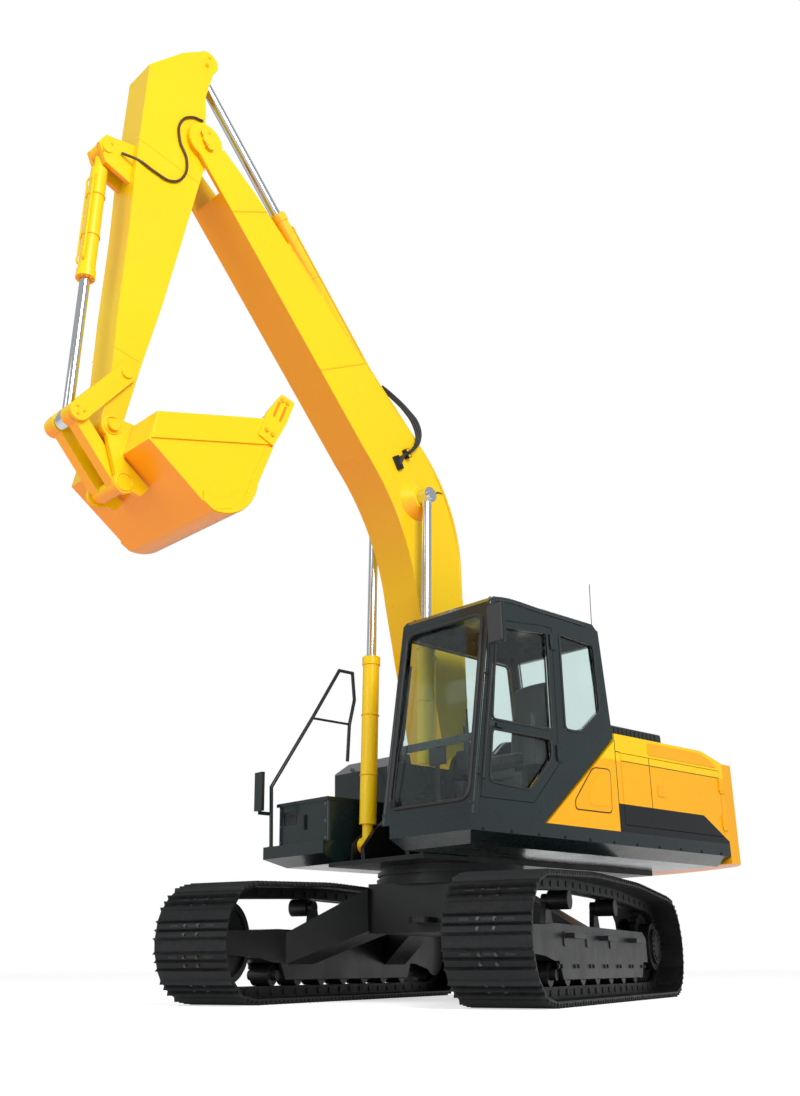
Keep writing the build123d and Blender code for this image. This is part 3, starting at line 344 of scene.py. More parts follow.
def linked(name, mesh, material, smooth):
    mesh.materials.clear()
    mesh.materials.append(material)
    for face in mesh.polygons:
        face.use_smooth = smooth
    piece = bpy.data.objects.new(name, mesh)
    bpy.context.scene.collection.objects.link(piece)
    return piece


def addPiece(name, mesh, material, body, smooth=False):
    piece = linked(name, mesh, material, smooth)
    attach(piece, body)
    return piece


def meshOf(name, bm):
    mesh = bpy.data.meshes.new(name)
    bm.to_mesh(mesh)
    bm.free()
    return mesh


def roundedOutline(points, radius, steps=5):  # corners of a closed outline turned into short arcs
    result = []
    count = len(points)
    for k in range(count):
        here = Vector(points[k])
        before = Vector(points[k - 1]) - here
        after = Vector(points[(k + 1) % count]) - here
        reach = min(radius, before.length * 0.45, after.length * 0.45)
        first, last = here + before.normalized() * reach, here + after.normalized() * reach
        for step in range(steps + 1):
            t = step / steps
            result.append((1 - t) ** 2 * first + 2 * t * (1 - t) * here + t ** 2 * last)
    return result


def platePiece(name, outlines, low, high, place, material, body, slot, bevel=2.0):
    bm = bmesh.new()
    for outline in outlines:
        rings = [[bm.verts.new(place(p[0], p[1], y)) for p in outline] for y in (low, high)]
        bm.faces.new(rings[0])
        bm.faces.new(list(reversed(rings[1])))
        for k in range(len(outline)):
            j = (k + 1) % len(outline)
            bm.faces.new((rings[0][k], rings[1][k], rings[1][j], rings[0][j]))
    bmesh.ops.recalc_face_normals(bm, faces=bm.faces)
    if bevel:  # breaks the rims of the two flat faces
        rims = [e for e in bm.edges if max(len(f.verts) for f in e.link_faces) != 4] or list(bm.edges)
        bmesh.ops.bevel(bm, geom=rims, offset=bevel / 1000, segments=2, profile=0.6, affect="EDGES")
    return addPiece(name, meshOf(name, bm), material, body)


def sidePlates(name, outlines, inner, outer, place, material, body, slot, bevel=2.0):
    for side, tag in ((1, "Left"), (-1, "Right")):
        low, high = sorted((side * inner, side * outer))
        platePiece(name + tag, outlines, low, high, place, material, body, slot, bevel)


def boxFaces(bm, corners):
    v = [bm.verts.new(c) for c in corners]
    for ring in ((0, 1, 3, 2), (4, 6, 7, 5), (0, 4, 5, 1), (2, 3, 7, 6), (0, 2, 6, 4), (1, 5, 7, 3)):
        bm.faces.new([v[k] for k in ring])


def blockPiece(name, blocks, material, body, bevel=6.0):  # each from its lowest to its highest corner
    bm = bmesh.new()
    for low, high in blocks:
        boxFaces(bm, [mach(x, y, z) for x in (low[0], high[0]) for y in (low[1], high[1])
                      for z in (low[2], high[2])])
    bmesh.ops.recalc_face_normals(bm, faces=bm.faces)
    bmesh.ops.bevel(bm, geom=list(bm.edges), offset=bevel / 1000, segments=3, profile=0.6, affect="EDGES")
    return addPiece(name, meshOf(name, bm), material, body)


def tubeMesh(name, runs, radius, closed, straight):
    curve = bpy.data.curves.new(name, "CURVE")
    curve.dimensions = "3D"
    curve.bevel_depth = radius / 1000
    curve.bevel_resolution = 3
    curve.resolution_u = 8
    curve.use_fill_caps = True
    for points in runs:
        line = curve.splines.new("POLY" if straight else "BEZIER")
        if straight:
            line.points.add(len(points) - 1)
            for knot, point in zip(line.points, points):
                knot.co = (*point, 1)
        else:
            line.bezier_points.add(len(points) - 1)
            for knot, point in zip(line.bezier_points, points):
                knot.co = point
                knot.handle_left_type = knot.handle_right_type = "AUTO"
        line.use_cyclic_u = closed
    maker = bpy.data.objects.new(name + "Line", curve)
    bpy.context.scene.collection.objects.link(maker)
    mesh = bpy.data.meshes.new_from_object(maker.evaluated_get(bpy.context.evaluated_depsgraph_get()))
    bpy.data.objects.remove(maker)
    return mesh


def tubePiece(name, runs, radius, material, body, closed=False, straight=False):  # hoses, seals, rods
    return addPiece(name, tubeMesh(name, runs, radius, closed, straight), material, body, True)


# Geometry node trees


def treeInput(tree, name, kind, value=None):
    socket = tree.interface.new_socket(name, in_out="INPUT", socket_type="NodeSocket" + kind)
    if value is not None:
        socket.default_value = value
    return socket.identifier


def newTree(title, inputs):
    tree = bpy.data.node_groups.new(title, "GeometryNodeTree")
    ids = {name: treeInput(tree, name, kind, value) for name, kind, value in inputs}
    tree.interface.new_socket("Made", in_out="OUTPUT", socket_type="NodeSocketGeometry")
    return tree, ids, tree.nodes.new, tree.links.new, tree.nodes.new("NodeGroupInput").outputs


def plantAndPaint(tree, given, points, shape, turn):  # copies on the points, made real and painted
    add, link = tree.nodes.new, tree.links.new
    onPoints, realize = add("GeometryNodeInstanceOnPoints"), add("GeometryNodeRealizeInstances")
    paint, result = add("GeometryNodeSetMaterial"), add("NodeGroupOutput")
    link(points, onPoints.inputs["Points"])
    link(shape, onPoints.inputs["Instance"])
    link(turn, onPoints.inputs["Rotation"])
    link(onPoints.outputs[0], realize.inputs[0])
    link(realize.outputs[0], paint.inputs["Geometry"])
    link(given["Finish"], paint.inputs["Material"])
    link(paint.outputs[0], result.inputs[0])


def headTree():  # screw or pin heads with a washer, standing on points that face outwards
    tree, ids, add, link, given = newTree("heads", (
        ("Points", "Geometry", None), ("Head Radius", "Float", 0.012), ("Head Height", "Float", 0.01),
        ("Washer Radius", "Float", 0.017), ("Sides", "Int", 6), ("Finish", "Material", None)))
    head, washer = add("GeometryNodeMeshCylinder"), add("GeometryNodeMeshCylinder")
    washer.inputs["Vertices"].default_value = 16
    link(given["Sides"], head.inputs["Vertices"])
    link(given["Head Radius"], head.inputs["Radius"])
    link(given["Head Height"], head.inputs["Depth"])
    link(given["Washer Radius"], washer.inputs["Radius"])
    shares = []
    for share in (0.5, 0.3):  # the head's lift and the washer's thickness
        part = add("ShaderNodeMath")
        part.operation = "MULTIPLY"
        part.inputs[1].default_value = share
        link(given["Head Height"], part.inputs[0])
        shares.append(part.outputs[0])
    link(shares[1], washer.inputs["Depth"])
    lift, move = add("ShaderNodeCombineXYZ"), add("GeometryNodeTransform")
    link(shares[0], lift.inputs["Z"])
    link(head.outputs["Mesh"], move.inputs["Geometry"])
    link(lift.outputs[0], move.inputs["Translation"])
    join = add("GeometryNodeJoinGeometry")
    link(move.outputs["Geometry"], join.inputs[0])
    link(washer.outputs["Mesh"], join.inputs[0])
    facing, turn = add("GeometryNodeInputNamedAttribute"), add("FunctionNodeAlignRotationToVector")
    facing.data_type = "FLOAT_VECTOR"
    facing.inputs["Name"].default_value = "facing"
    turn.axis = "Z"
    link(facing.outputs[0], turn.inputs["Vector"])
    plantAndPaint(tree, given, given["Points"], join.outputs[0], turn.outputs[0])
    return tree, ids


def slatTree():  # a row of equal slats
    tree, ids, add, link, given = newTree("slats", (
        ("Geometry", "Geometry", None), ("Count", "Int", 8), ("Start", "Vector", None),
        ("Step", "Vector", None), ("Size", "Vector", None), ("Tilt", "Float", 0.0),
        ("Finish", "Material", None)))
    line, slat, lean = add("GeometryNodeMeshLine"), add("GeometryNodeMeshCube"), add("ShaderNodeCombineXYZ")
    link(given["Count"], line.inputs["Count"])
    link(given["Start"], line.inputs["Start Location"])
    link(given["Step"], line.inputs["Offset"])
    link(given["Size"], slat.inputs["Size"])
    link(given["Tilt"], lean.inputs["X"])
    plantAndPaint(tree, given, line.outputs["Mesh"], slat.outputs["Mesh"], lean.outputs[0])
    return tree, ids


headNodes, headIds = headTree()
slatNodes, slatIds = slatTree()


def runTree(name, mesh, tree, ids, values, material, body):
    maker = bpy.data.objects.new(name + "Maker", mesh)
    bpy.context.scene.collection.objects.link(maker)
    modifier = maker.modifiers.new("make", "NODES")
    modifier.node_group = tree
    for key, value in values.items():
        modifier[ids[key]] = value
    modifier[ids["Finish"]] = material
    result = bpy.data.meshes.new_from_object(maker.evaluated_get(bpy.context.evaluated_depsgraph_get()))
    maker.modifiers.remove(modifier)
    bpy.data.objects.remove(maker)
    return addPiece(name, result, material, body)


def headsPiece(name, places, size, material, body):  # places are pairs of a point and the way it faces
    mesh = bpy.data.meshes.new(name + "Points")
    mesh.from_pydata([tuple(p) for p, _ in places], [], [])
    facing = mesh.attributes.new("facing", "FLOAT_VECTOR", "POINT")
    for k, (_, way) in enumerate(places):
        facing.data[k].vector = tuple(way)
    values = {"Head Radius": size["radius"] / 1000, "Head Height": size["height"] / 1000,
              "Washer Radius": size["washer"] / 1000, "Sides": size.get("sides", 6)}
    return runTree(name, mesh, headNodes, headIds, values, material, body)


def slatsPiece(name, row, material, body):
    mesh = bpy.data.meshes.new(name + "Start")
    mesh.from_pydata([(0, 0, 0)], [], [])
    values = {"Count": row["count"], "Start": tuple(mach(*row["start"])), "Step": row["step"],
              "Size": row["size"], "Tilt": 0.0}
    return runTree(name, mesh, slatNodes, slatIds, values, material, body)


def ringOf(centre, across, upward, radius, count, start=0.0):
    turns = [start + 2 * pi * k / count for k in range(count)]
    return [centre + across * (radius * cos(a)) + upward * (radius * sin(a)) for a in turns]


def circleSpots(u, v, radius, count, start=0.0):
    turns = [start + 2 * pi * k / count for k in range(count)]
    return [(u + radius * cos(a), v + radius * sin(a)) for a in turns]


def bothSides(place, spots, y):  # the same spots on the left and the right face
    return [(place(u, v, side * y), Vector((0, side, 0))) for side in (1, -1) for u, v in spots]


# Tracks: bolts and mud slots on every shoe, pin ends along the links
track = {"gauge": 2200, "base": 1825, "wheelHeight": 427, "pitchRadius": 345, "lowLine": 82, "topLine": 831,
         "carriers": (620, -700), "steps": 160, "shoes": 50, "plate": 54, "boltOut": 30, "boltSide": 55,
         "bolt": {"radius": 11, "height": 11, "washer": 15}, "slotAlong": (21.5, 38.5), "slotHalf": 36,
         "slotSide": 150, "slotLift": (-4, 1.2), "linkOut": 80,
         "pin": {"radius": 21, "height": 7, "washer": 26, "sides": 18}}


def pinLoop(t):  # pins of the link chain, evenly spaced along its line
    line = [(-t["base"], t["lowLine"]), (t["base"], t["lowLine"])]
    rise = t["topLine"] - t["wheelHeight"]

    def slope(run):
        return atan2(rise, run) - asin(t["pitchRadius"] / hypot(run, rise))

    def onWheel(x, angle):
        return x + t["pitchRadius"] * cos(angle), t["wheelHeight"] + t["pitchRadius"] * sin(angle)

    front, rear = slope(t["base"] - t["carriers"][0]), slope(t["base"] + t["carriers"][1])
    for k in range(1, t["steps"] + 1):
        line.append(onWheel(t["base"], -pi / 2 + (pi - front) * k / t["steps"]))
    line += [(x, t["topLine"]) for x in t["carriers"]]
    for k in range(t["steps"] + 1):
        line.append(onWheel(-t["base"], pi / 2 + rear + (pi - rear) * k / t["steps"]))
    lengths = [hypot(b[0] - a[0], b[1] - a[1]) for a, b in zip(line, line[1:])]
    total, pins, walked, k = sum(lengths), [], 0.0, 0
    for shoe in range(t["shoes"]):
        goal = total * shoe / t["shoes"]
        while walked + lengths[k] < goal:
            walked += lengths[k]
            k += 1
        part = (goal - walked) / lengths[k]
        pins.append(tuple(line[k][i] + (line[k + 1][i] - line[k][i]) * part for i in (0, 1)))
    return pins


def dressTracks(t):
    pins = pinLoop(t)
    bolts, ends, slots = [], [], bmesh.new()
    for y in (t["gauge"] / 2, -t["gauge"] / 2):
        for a, b in zip(pins, pins[1:] + pins[:1]):
            size = hypot(b[0] - a[0], b[1] - a[1])
            along = ((b[0] - a[0]) / size, (b[1] - a[1]) / size)
            out = (along[1], -along[0])
            mid = ((a[0] + b[0]) / 2, (a[1] + b[1]) / 2)
            way = underWay(out[0], 0, out[1])

            def spot(forward, outward, sideways):
                return under(mid[0] + forward * along[0] + outward * out[0], y + sideways,
                             mid[1] + forward * along[1] + outward * out[1])

            bolts += [(spot(forward, t["plate"], sideways), way) for forward in (-t["boltOut"], t["boltOut"])
                      for sideways in (-t["boltSide"], t["boltSide"])]
            for sideways in (-t["slotSide"], 0, t["slotSide"]):
                boxFaces(slots, [spot(f, t["plate"] + lift, sideways + s) for f in t["slotAlong"]
                                 for s in (-t["slotHalf"], t["slotHalf"]) for lift in t["slotLift"]])
            ends += [(under(a[0], y + face * t["linkOut"], a[1]), underWay(0, face, 0)) for face in (-1, 1)]
    headsPiece("shoeBolts", bolts, t["bolt"], shoeBolt, "undercarriage")
    headsPiece("linkPins", ends, t["pin"], trackSteel, "undercarriage")
    bmesh.ops.recalc_face_normals(slots, faces=slots.faces)
    addPiece("shoeSlots", meshOf("shoeSlots", slots), rubberBlack, "undercarriage")


dressTracks(track)

running = {"bolt": {"radius": 13, "height": 12, "washer": 18}, "driveOut": 145, "driveRing": 0.115,
           "driveCount": 16, "idlerOut": 85, "idlerRing": 0.06, "idlerCount": 8, "guardOut": 150,
           "guardHeight": 255, "guardStep": 400, "guardPair": 45, "coverOut": (149, 159),
           "coverHeight": (385, 485), "covers": ((-260, 230), (420, 190), (1010, 150))}


def dressRunningGear(r):
    places, covers = [], []
    along = under(1000, 0, 0) - under(0, 0, 0)
    low, high = r["coverHeight"]
    for side in (1, -1):
        y = side * track["gauge"] / 2
        outward = underWay(0, side, 0)
        drive = under(-track["base"], y + side * r["driveOut"], track["wheelHeight"])
        idler = under(track["base"], y + side * r["idlerOut"], track["wheelHeight"])
        places += [(p, outward) for p in ringOf(drive, along, up, r["driveRing"], r["driveCount"])]
        places += [(p, outward) for p in ringOf(idler, along, up, r["idlerRing"], r["idlerCount"])]
        for k in range(-3, 4):
            for dx in (-r["guardPair"], r["guardPair"]):
                guard = under(k * r["guardStep"] + dx, y + side * r["guardOut"], r["guardHeight"])
                places.append((guard, outward))
        for x, wide in r["covers"]:
            corners = [(x - wide / 2, low), (x + wide / 2, low), (x + wide / 2, high), (x - wide / 2, high)]
            covers.append((roundedOutline(corners, 26), sorted(y + side * out for out in r["coverOut"])))
    headsPiece("runningBolts", places, r["bolt"], shoeBolt, "undercarriage")
    for k, (outline, levels) in enumerate(covers):
        platePiece("frameCover%d" % k, [outline], *levels, underSide, chassisBlack, "undercarriage",
                   "chassis_black", 2)


dressRunningGear(running)
print("tracks dressed")

# Upper structure, outlines in its side view
bodyFace = 1385
leftPlates = (  # name, outlines, corner radius, how far it stands out, bevel, paint, body
    ("hatchRim", [[(57, 1379), (61, 1451), (-188, 1731), (-418, 1737), (-401, 1383)]], 50, 1.2, 0,
     seamShade, "upper"),
    ("hatchPanel", [[(48, 1388), (52, 1448), (-192, 1722), (-408, 1728), (-392, 1392)]], 46, 5, 2,
     tailYellow, "upper"),
    ("hatchPull", [[(-118, 1432), (-118, 1560), (-262, 1690), (-380, 1692), (-368, 1436)]], 34, 9, 3,
     sideYellow, "upper"),
    ("bodySeams", [[(-500, 1309), (-493, 1309), (-493, 1975), (-500, 1975)],
                   [(-500, 1884), (-560, 1884), (-560, 1891), (-500, 1891)]], 0, 0.8, 0, seamShade, "upper"),
    ("doorSeams", [[(-953, 1318), (-946, 1318), (-946, 1878), (-953, 1878)],
                   [(-1980, 1816), (-570, 1816), (-570, 1822), (-1980, 1822)]], 0, 0.8, 0, seamShade,
     "side_door_left"),
    ("doorLatch", [[(-1040, 1575), (-1040, 1665), (-1135, 1665), (-1135, 1575)]], 14, 6, 2, tailYellow,
     "side_door_left"),
    ("upperPanel", [[(-940, 1905), (-940, 2008), (-1700, 2008), (-1860, 1965), (-1960, 1905)]], 30, 5, 3,
     tailYellow, "upper"))
for name, outlines, radius, out, bevel, paint, body in leftPlates:
    shapes = [roundedOutline(outline, radius) for outline in outlines] if radius else outlines
    platePiece(name, shapes, bodyFace - 2, bodyFace + out, onSide, paint, body, "body_yellow", bevel)

rightLouvres = {"count": 10, "start": (-1180, -1387, 1560), "step": (-0.068, 0, 0),
                "size": (0.03, 0.007, 0.24)}
intakeSlots = {"count": 11, "start": (-600, 1326, 2082), "step": (-0.056, 0, 0), "size": (0.024, 0.008, 0.05)}
hoodLouvres = {"count": 12, "start": (-1200, 0, 2151), "step": (-0.06, 0, 0), "size": (0.03, 0.62, 0.008)}
slatsPiece("rightLouvres", rightLouvres, seamShade, "side_door_right")
blockPiece("intakeCover", [((-1250, 640, 2020), (-500, 1325, 2122))], cabGreen, "upper", 22)
slatsPiece("intakeSlots", intakeSlots, rubberBlack, "upper")
slatsPiece("hoodLouvres", hoodLouvres, rubberBlack, "engine_hood")

tail = {"radius": 2.751, "height": 1.18, "turns": (158, 166, 174, 186, 194, 202),
        "plug": {"radius": 20, "height": 8, "washer": 26, "sides": 20}}
plugWays = [Vector((cos(radians(a)), sin(radians(a)), 0)) for a in tail["turns"]]
plugs = [(Vector((placeX, 0, tail["height"])) + way * tail["radius"], way) for way in plugWays]
headsPiece("tailPlugs", plugs, tail["plug"], tailYellow, "upper")

deck = {"height": 1165, "rear": -1900, "leftEnd": 1101, "rightEnd": 801, "step": 300,
        "bolt": {"radius": 9, "height": 8, "washer": 14}}
deckBolts = [(mach(x, side * bodyFace, deck["height"]), Vector((0, side, 0)))
             for side, end in ((1, deck["leftEnd"]), (-1, deck["rightEnd"]))
             for x in range(deck["rear"], end, deck["step"])]
headsPiece("deckBolts", deckBolts, deck["bolt"], chassisBlack, "upper")

# Right front: work lamp in the toolbox, handle, rail feet, mirror glass
lamp = {"place": (816, -1140, 1490), "bar": (0.004, 0.17, 0.005), "barStep": (0, 0, 0.022), "bars": 4,
        "boxBolt": {"radius": 7, "height": 6, "washer": 11},
        "footBolt": {"radius": 10, "height": 9, "washer": 16}}


def dressRightFront(b):
    x, y, z = b["place"]
    blockPiece("lampBody", [((x - 1, y - 88, z - 48), (x + 6, y + 88, z + 48))], cabPlastic, "upper",
               2.5)
    blockPiece("lampLens", [((x + 5, y - 70, z - 36), (x + 11, y + 70, z + 36))], lampGlass, "upper",
               2)
    grille = {"count": b["bars"], "start": (x + 15, y, z - 33), "step": b["barStep"], "size": b["bar"]}
    slatsPiece("lampGrille", grille, chassisBlack, "upper")
    grip = [((x + 16, y + 200, 1380), (x + 34, y + 215, 1500))]
    feet = [((x + 12, y + 196, foot), (x + 26, y + 219, foot + 20)) for foot in (1375, 1485)]
    blockPiece("boxHandle", grip + feet, chassisBlack, "upper", 3)
    ahead = Vector((1, 0, 0))
    corners = [(mach(x + 14, across, height), ahead)
               for across in (-1280, -660) for height in (1290, 1430, 1570)]
    headsPiece("boxBolts", corners, b["boxBolt"], boltSteel, "upper")
    feet = [(mach(forward, -1345, 1256), up) for forward in (860, 905)]
    headsPiece("railFeet", feet, b["footBolt"], boltSteel, "upper")
    blockPiece("mirrorGlassRight", [((1008, -1392, 1572), (1011, -1298, 1888))], mirrorFace, "upper",
               1)


dressRightFront(lamp)
print("upper structure dressed")

# Cab
cab = {"front": (1192, 922), "heights": (1254, 2872), "left": 1385, "right": 435, "seal": 15, "windowSeal": 9,
       "edge": 20, "screen": (1372, 2782), "screenSide": 62, "screenRadius": 95, "border": (1345, 2806),
       "borderSide": 10, "borderRadius": 60, "borderDepth": 9, "windowRadius": 45,
       "roofBolt": {"radius": 9, "height": 7, "washer": 14}}
cabWindows = {
    "doorLow": [(1010, 1500), (958, 1890), (300, 1890), (300, 1745), (570, 1480)],
    "doorHigh": [(955, 1960), (862, 2680), (275, 2735), (275, 1960)],
    "rear": [(45, 2759), (-312, 2739), (-338, 2192), (-73, 1988), (120, 1988), (120, 2759)],
    "far": [(1010, 1750), (865, 2760), (-330, 2740), (-390, 2080), (-200, 2050), (150, 1750)]}
cabMiddle = (cab["left"] + cab["right"]) / 2


def frontX(z):
    (x0, x1), (z0, z1) = cab["front"], cab["heights"]
    return x0 + (x1 - x0) * (z - z0) / (z1 - z0)


def screenBorder(inner, outer, depth):  # painted margin round the front glass
    bm = bmesh.new()
    sheets = [[[bm.verts.new(mach(frontX(p[1]) + lift, p[0], p[1])) for p in ring] for ring in (outer, inner)]
              for lift in (-depth, 0)]
    for k in range(len(outer)):
        j = (k + 1) % len(outer)
        for a, b in sheets + list(zip(*sheets)):
            bm.faces.new((a[k], a[j], b[j], b[k]))
    bmesh.ops.recalc_face_normals(bm, faces=bm.faces)
    addPiece("screenBorder", meshOf("screenBorder", bm), cabGreen, "upper")


def dressCab(c):
    left, right = c["left"], c["right"]

    def frame4(edge, heights):
        return [(right + edge, heights[0]), (left - edge, heights[0]), (left - edge, heights[1]),
                (right + edge, heights[1])]

    screen = roundedOutline(frame4(c["screenSide"], c["screen"]), c["screenRadius"], 8)
    tubePiece("screenSeal", [[mach(frontX(p[1]) + 1, p[0], p[1]) for p in screen]], c["seal"], rubberBlack,
              "upper", True, True)
    margin = roundedOutline(frame4(c["borderSide"], c["border"]), c["borderRadius"], 8)
    screenBorder(screen, margin, c["borderDepth"])
    for name, windows, y, body in (("doorSeals", ("doorLow", "doorHigh"), left + 1, "cab_door"),
                                   ("rearSeal", ("rear",), left + 1, "upper"),
                                   ("farSeal", ("far",), right - 1, "upper")):
        runs = [[mach(p[0], y, p[1]) for p in roundedOutline(cabWindows[window], c["windowRadius"])]
                for window in windows]
        tubePiece(name, runs, c["windowSeal"], rubberBlack, body, True, True)
    pocket = roundedOutline([(900, 1905), (900, 1945), (1000, 1945), (1000, 1905)], 12)
    platePiece("doorPocket", [pocket], left - 2, left + 3, onSide, cabPlastic, "cab_door", "cab_plastic", 1)

    wiper = [mach(frontX(z) + out, right + y, z)
             for z, out, y in ((1420, 20, 120), (1800, 24, 128), (2150, 16, 150))]
    tubePiece("wiperArm", [wiper], 6, chassisBlack, "upper", straight=True)
    blade = [mach(frontX(z) + 8, right + 150, z) for z in (1900, 2150, 2500)]
    tubePiece("wiperBlade", [blade], 8, rubberBlack, "upper", straight=True)
    motor = [((frontX(1400) + 1, right + 95, 1385), (frontX(1400) + 24, right + 145, 1440))]
    blockPiece("wiperMotor", motor, chassisBlack, "upper", 5)

    runs = []
    for y in (right + 14, left - 14):
        runs.append([mach(frontX(z) - 15, y, z) for z in (1262, 1700, 2200, 2700, 2815)]
                    + [mach(x, y, z) for x, z in ((895, 2878), (820, 2906), (300, 2909), (-200, 2900))])
    tubePiece("cabEdges", runs, c["edge"], cabGreen, "upper")
    roof = [(mach(x, y, z), up) for x, z in ((-300, 2923), (0, 2923), (300, 2930), (600, 2923), (850, 2923))
            for y in (right + 60, left - 60)]
    headsPiece("roofBolts", roof, c["roofBolt"], chassisBlack, "upper")
    whip = [mach(x, left - 60, z) for x, z in ((-395, 2860), (-400, 3080), (-408, 3300))]
    tubePiece("aerial", [whip], 3, chassisBlack, "upper", straight=True)
    foot = [mach(-395, left - 60, 2850), mach(-396, left - 60, 2935)]
    tubePiece("aerialFoot", [foot], 12, rubberBlack, "upper", straight=True)

    blockPiece("mirrorGlass", [((983, left + 58, 2510), (986.5, left + 192, 2788))], mirrorFace, "upper",
               1)
    for name, blocks, bevel in (
            ("mirrorBack", [((1008, left + 54, 2506), (1024, left + 196, 2794))], 7),
            ("monitor", [((700, right + 70, 1750), (740, right + 230, 1930))], 8),
            ("monitorPost", [((712, right + 130, 1300), (736, right + 165, 1760))], 4),
            ("consoleLegs", [((430, cabMiddle + s * 300 - 40, 1303), (520, cabMiddle + s * 300 + 40, 1640))
                             for s in (-1, 1)], 10)):
        blockPiece(name, blocks, cabPlastic, "upper", bevel)


dressCab(cab)

seatSize = {"cushion": {"middle": (195, 1770), "half": (235, 250, 55.9), "crown": 0.12},
            "back": {"middle": (-100, 2140), "half": (330, 236, 52), "crown": 0.16},
            "cuts": 9, "waist": 0.049, "edge": 0.72, "thin": 0.42, "channel": 0.6, "channelDeep": 0.07,
            "fill": 0.8}


def pillow(name, place, crown, s):  # place turns -1..1 along, across and up into metres
    bm = bmesh.new()
    bmesh.ops.create_cube(bm, size=2)
    bmesh.ops.subdivide_edges(bm, edges=list(bm.edges), cuts=s["cuts"], use_grid_fill=True)
    for v in bm.verts:
        x, y, z = v.co
        pull = 1 - s["waist"] * x * x * y * y
        rim = max(abs(x), abs(y))
        flat = 1 - s["thin"] * max(0.0, rim - s["edge"]) / (1 - s["edge"]) if abs(z) > 0.5 else 1
        sewn = abs(abs(y) - s["channel"]) < 0.05 and abs(z) > 0.9
        top = z * flat * (1 - (s["channelDeep"] if sewn else 0))
        if z > 0.9:
            top += crown * (1 - x * x) * (1 - y * y)
        v.co = place(x * pull, y * pull, top)
    bmesh.ops.recalc_face_normals(bm, faces=bm.faces)
    piece = addPiece(name, meshOf(name, bm), seatFabric, "upper", True)
    surface = piece.modifiers.new("surface", "SUBSURF")
    surface.levels = surface.render_levels = 1
    return piece


def dressSeat(s):
    (x0, z0), (halfX, halfY, halfZ) = s["cushion"]["middle"], s["cushion"]["half"]
    cushion = pillow("seatCushion",
                     lambda x, y, z: mach(x0 + x * halfX, cabMiddle + y * halfY, z0 + z * halfZ),
                     s["cushion"]["crown"], s)
    (backX, backZ), (tall, wide, thick) = s["back"]["middle"], s["back"]["half"]
    pillow("seatBack", lambda x, y, z: mach(backX + (z - x) * thick, cabMiddle + y * wide, backZ + x * tall),
           s["back"]["crown"], s)
    pedestal = [((30, cabMiddle - 170, 1630), (390, cabMiddle + 170, 1702)),
                ((-118, cabMiddle - 60, 1712), (-88, cabMiddle + 60, 1900))]
    rest = blockPiece("seatPedestal", pedestal, cabPlastic, "upper", 8)
    legs = [((300, cabMiddle - 150, 1420), (372, cabMiddle + 150, 1640))]
    blockPiece("seatLegs", legs, cabPlastic, "upper", 6)
    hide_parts("seat")
    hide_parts("seat")


dressSeat(seatSize)
print("cab dressed")

# Boom: weld beads, hoses beside the arm cylinder's foot, keepers and the hoses at its foot
boomTrim = {
    "half": 205, "seams": (3590, 5068), "seamHalf": 5, "seamLean": 30, "tip": 5700, "boss": (2256, 779),
    "bolt": {"radius": 10, "height": 9, "washer": 15}, "hose": 13, "hoses": 3, "fan": 9, "drop": 24,
    "grease": 5,
    "hoseRoute": (  # along, over, across, then the shares of drop, fan and slip
        (3330, 958, 150, 0.3, 1, 0), (3205, 1044, 165, 0.4, 1, 0), (3050, 1120, 185, 0.5, 1, 0),
        (2898, 1128, 212, 0.9, 1, 0), (2759, 1070, 224, 0.6, 1, 0), (2690, 960, 220, 0, 1, 0),
        (2668, 830, 218, 0, 1, 0), (2650, 740, 216, 0, 0.4, 1)),
    "greaseRoute": ((2262, 905, 212), (2258, 1020, 215), (2240, 1128, 211), (2180, 1176, 175),
                    (2110, 1172, 155)),
    "clamp": [(2630, 850), (2720, 850), (2720, 905), (2630, 905)],
    "port": [(2560, 700), (2690, 700), (2690, 770), (2560, 770)],
    "keeper": [(5604, -34), (5796, -34), (5796, 34), (5604, 34)],
    "footHose": 17, "footSides": (-160, -120, 120, 160), "footTop": ((400, 419), (340, 386)),
    "footRoute": ((-85, 2130, 1), (-150, 1900, 0.95), (-330, 1680, 0.9), (-480, 1560, 0.85),
                  (-560, 1480, 0.8)),
    "bendStart": (-260, 0, 1760), "bendEnd": (300, 366, 0),
    "valve": [((-720, -200, 1071), (-470, 200, 1500)), ((-700, -150, 1495), (-500, 150, 1540))]}


def topOfBoom(u):
    if u < 1500:
        return 105 + (u + 75) * (972 - 105) / 1575
    if u > 3000:
        return 1003 + (u - 3000) * (327 - 1003) / 2190
    return 1158 - (155 * ((u - 2230) / 770) ** 2 if u > 2230 else 186 * ((u - 2230) / 730) ** 2)


def footOfBoom(u):
    if u < 1500:
        return -118 + (u - 55) * (345 + 118) / 1445
    if u > 2800:
        return 412 + (u - 2800) * (-125 - 412) / 2800
    return 478 - (66 * ((u - 2100) / 700) ** 2 if u > 2100 else 133 * ((u - 2100) / 600) ** 2)


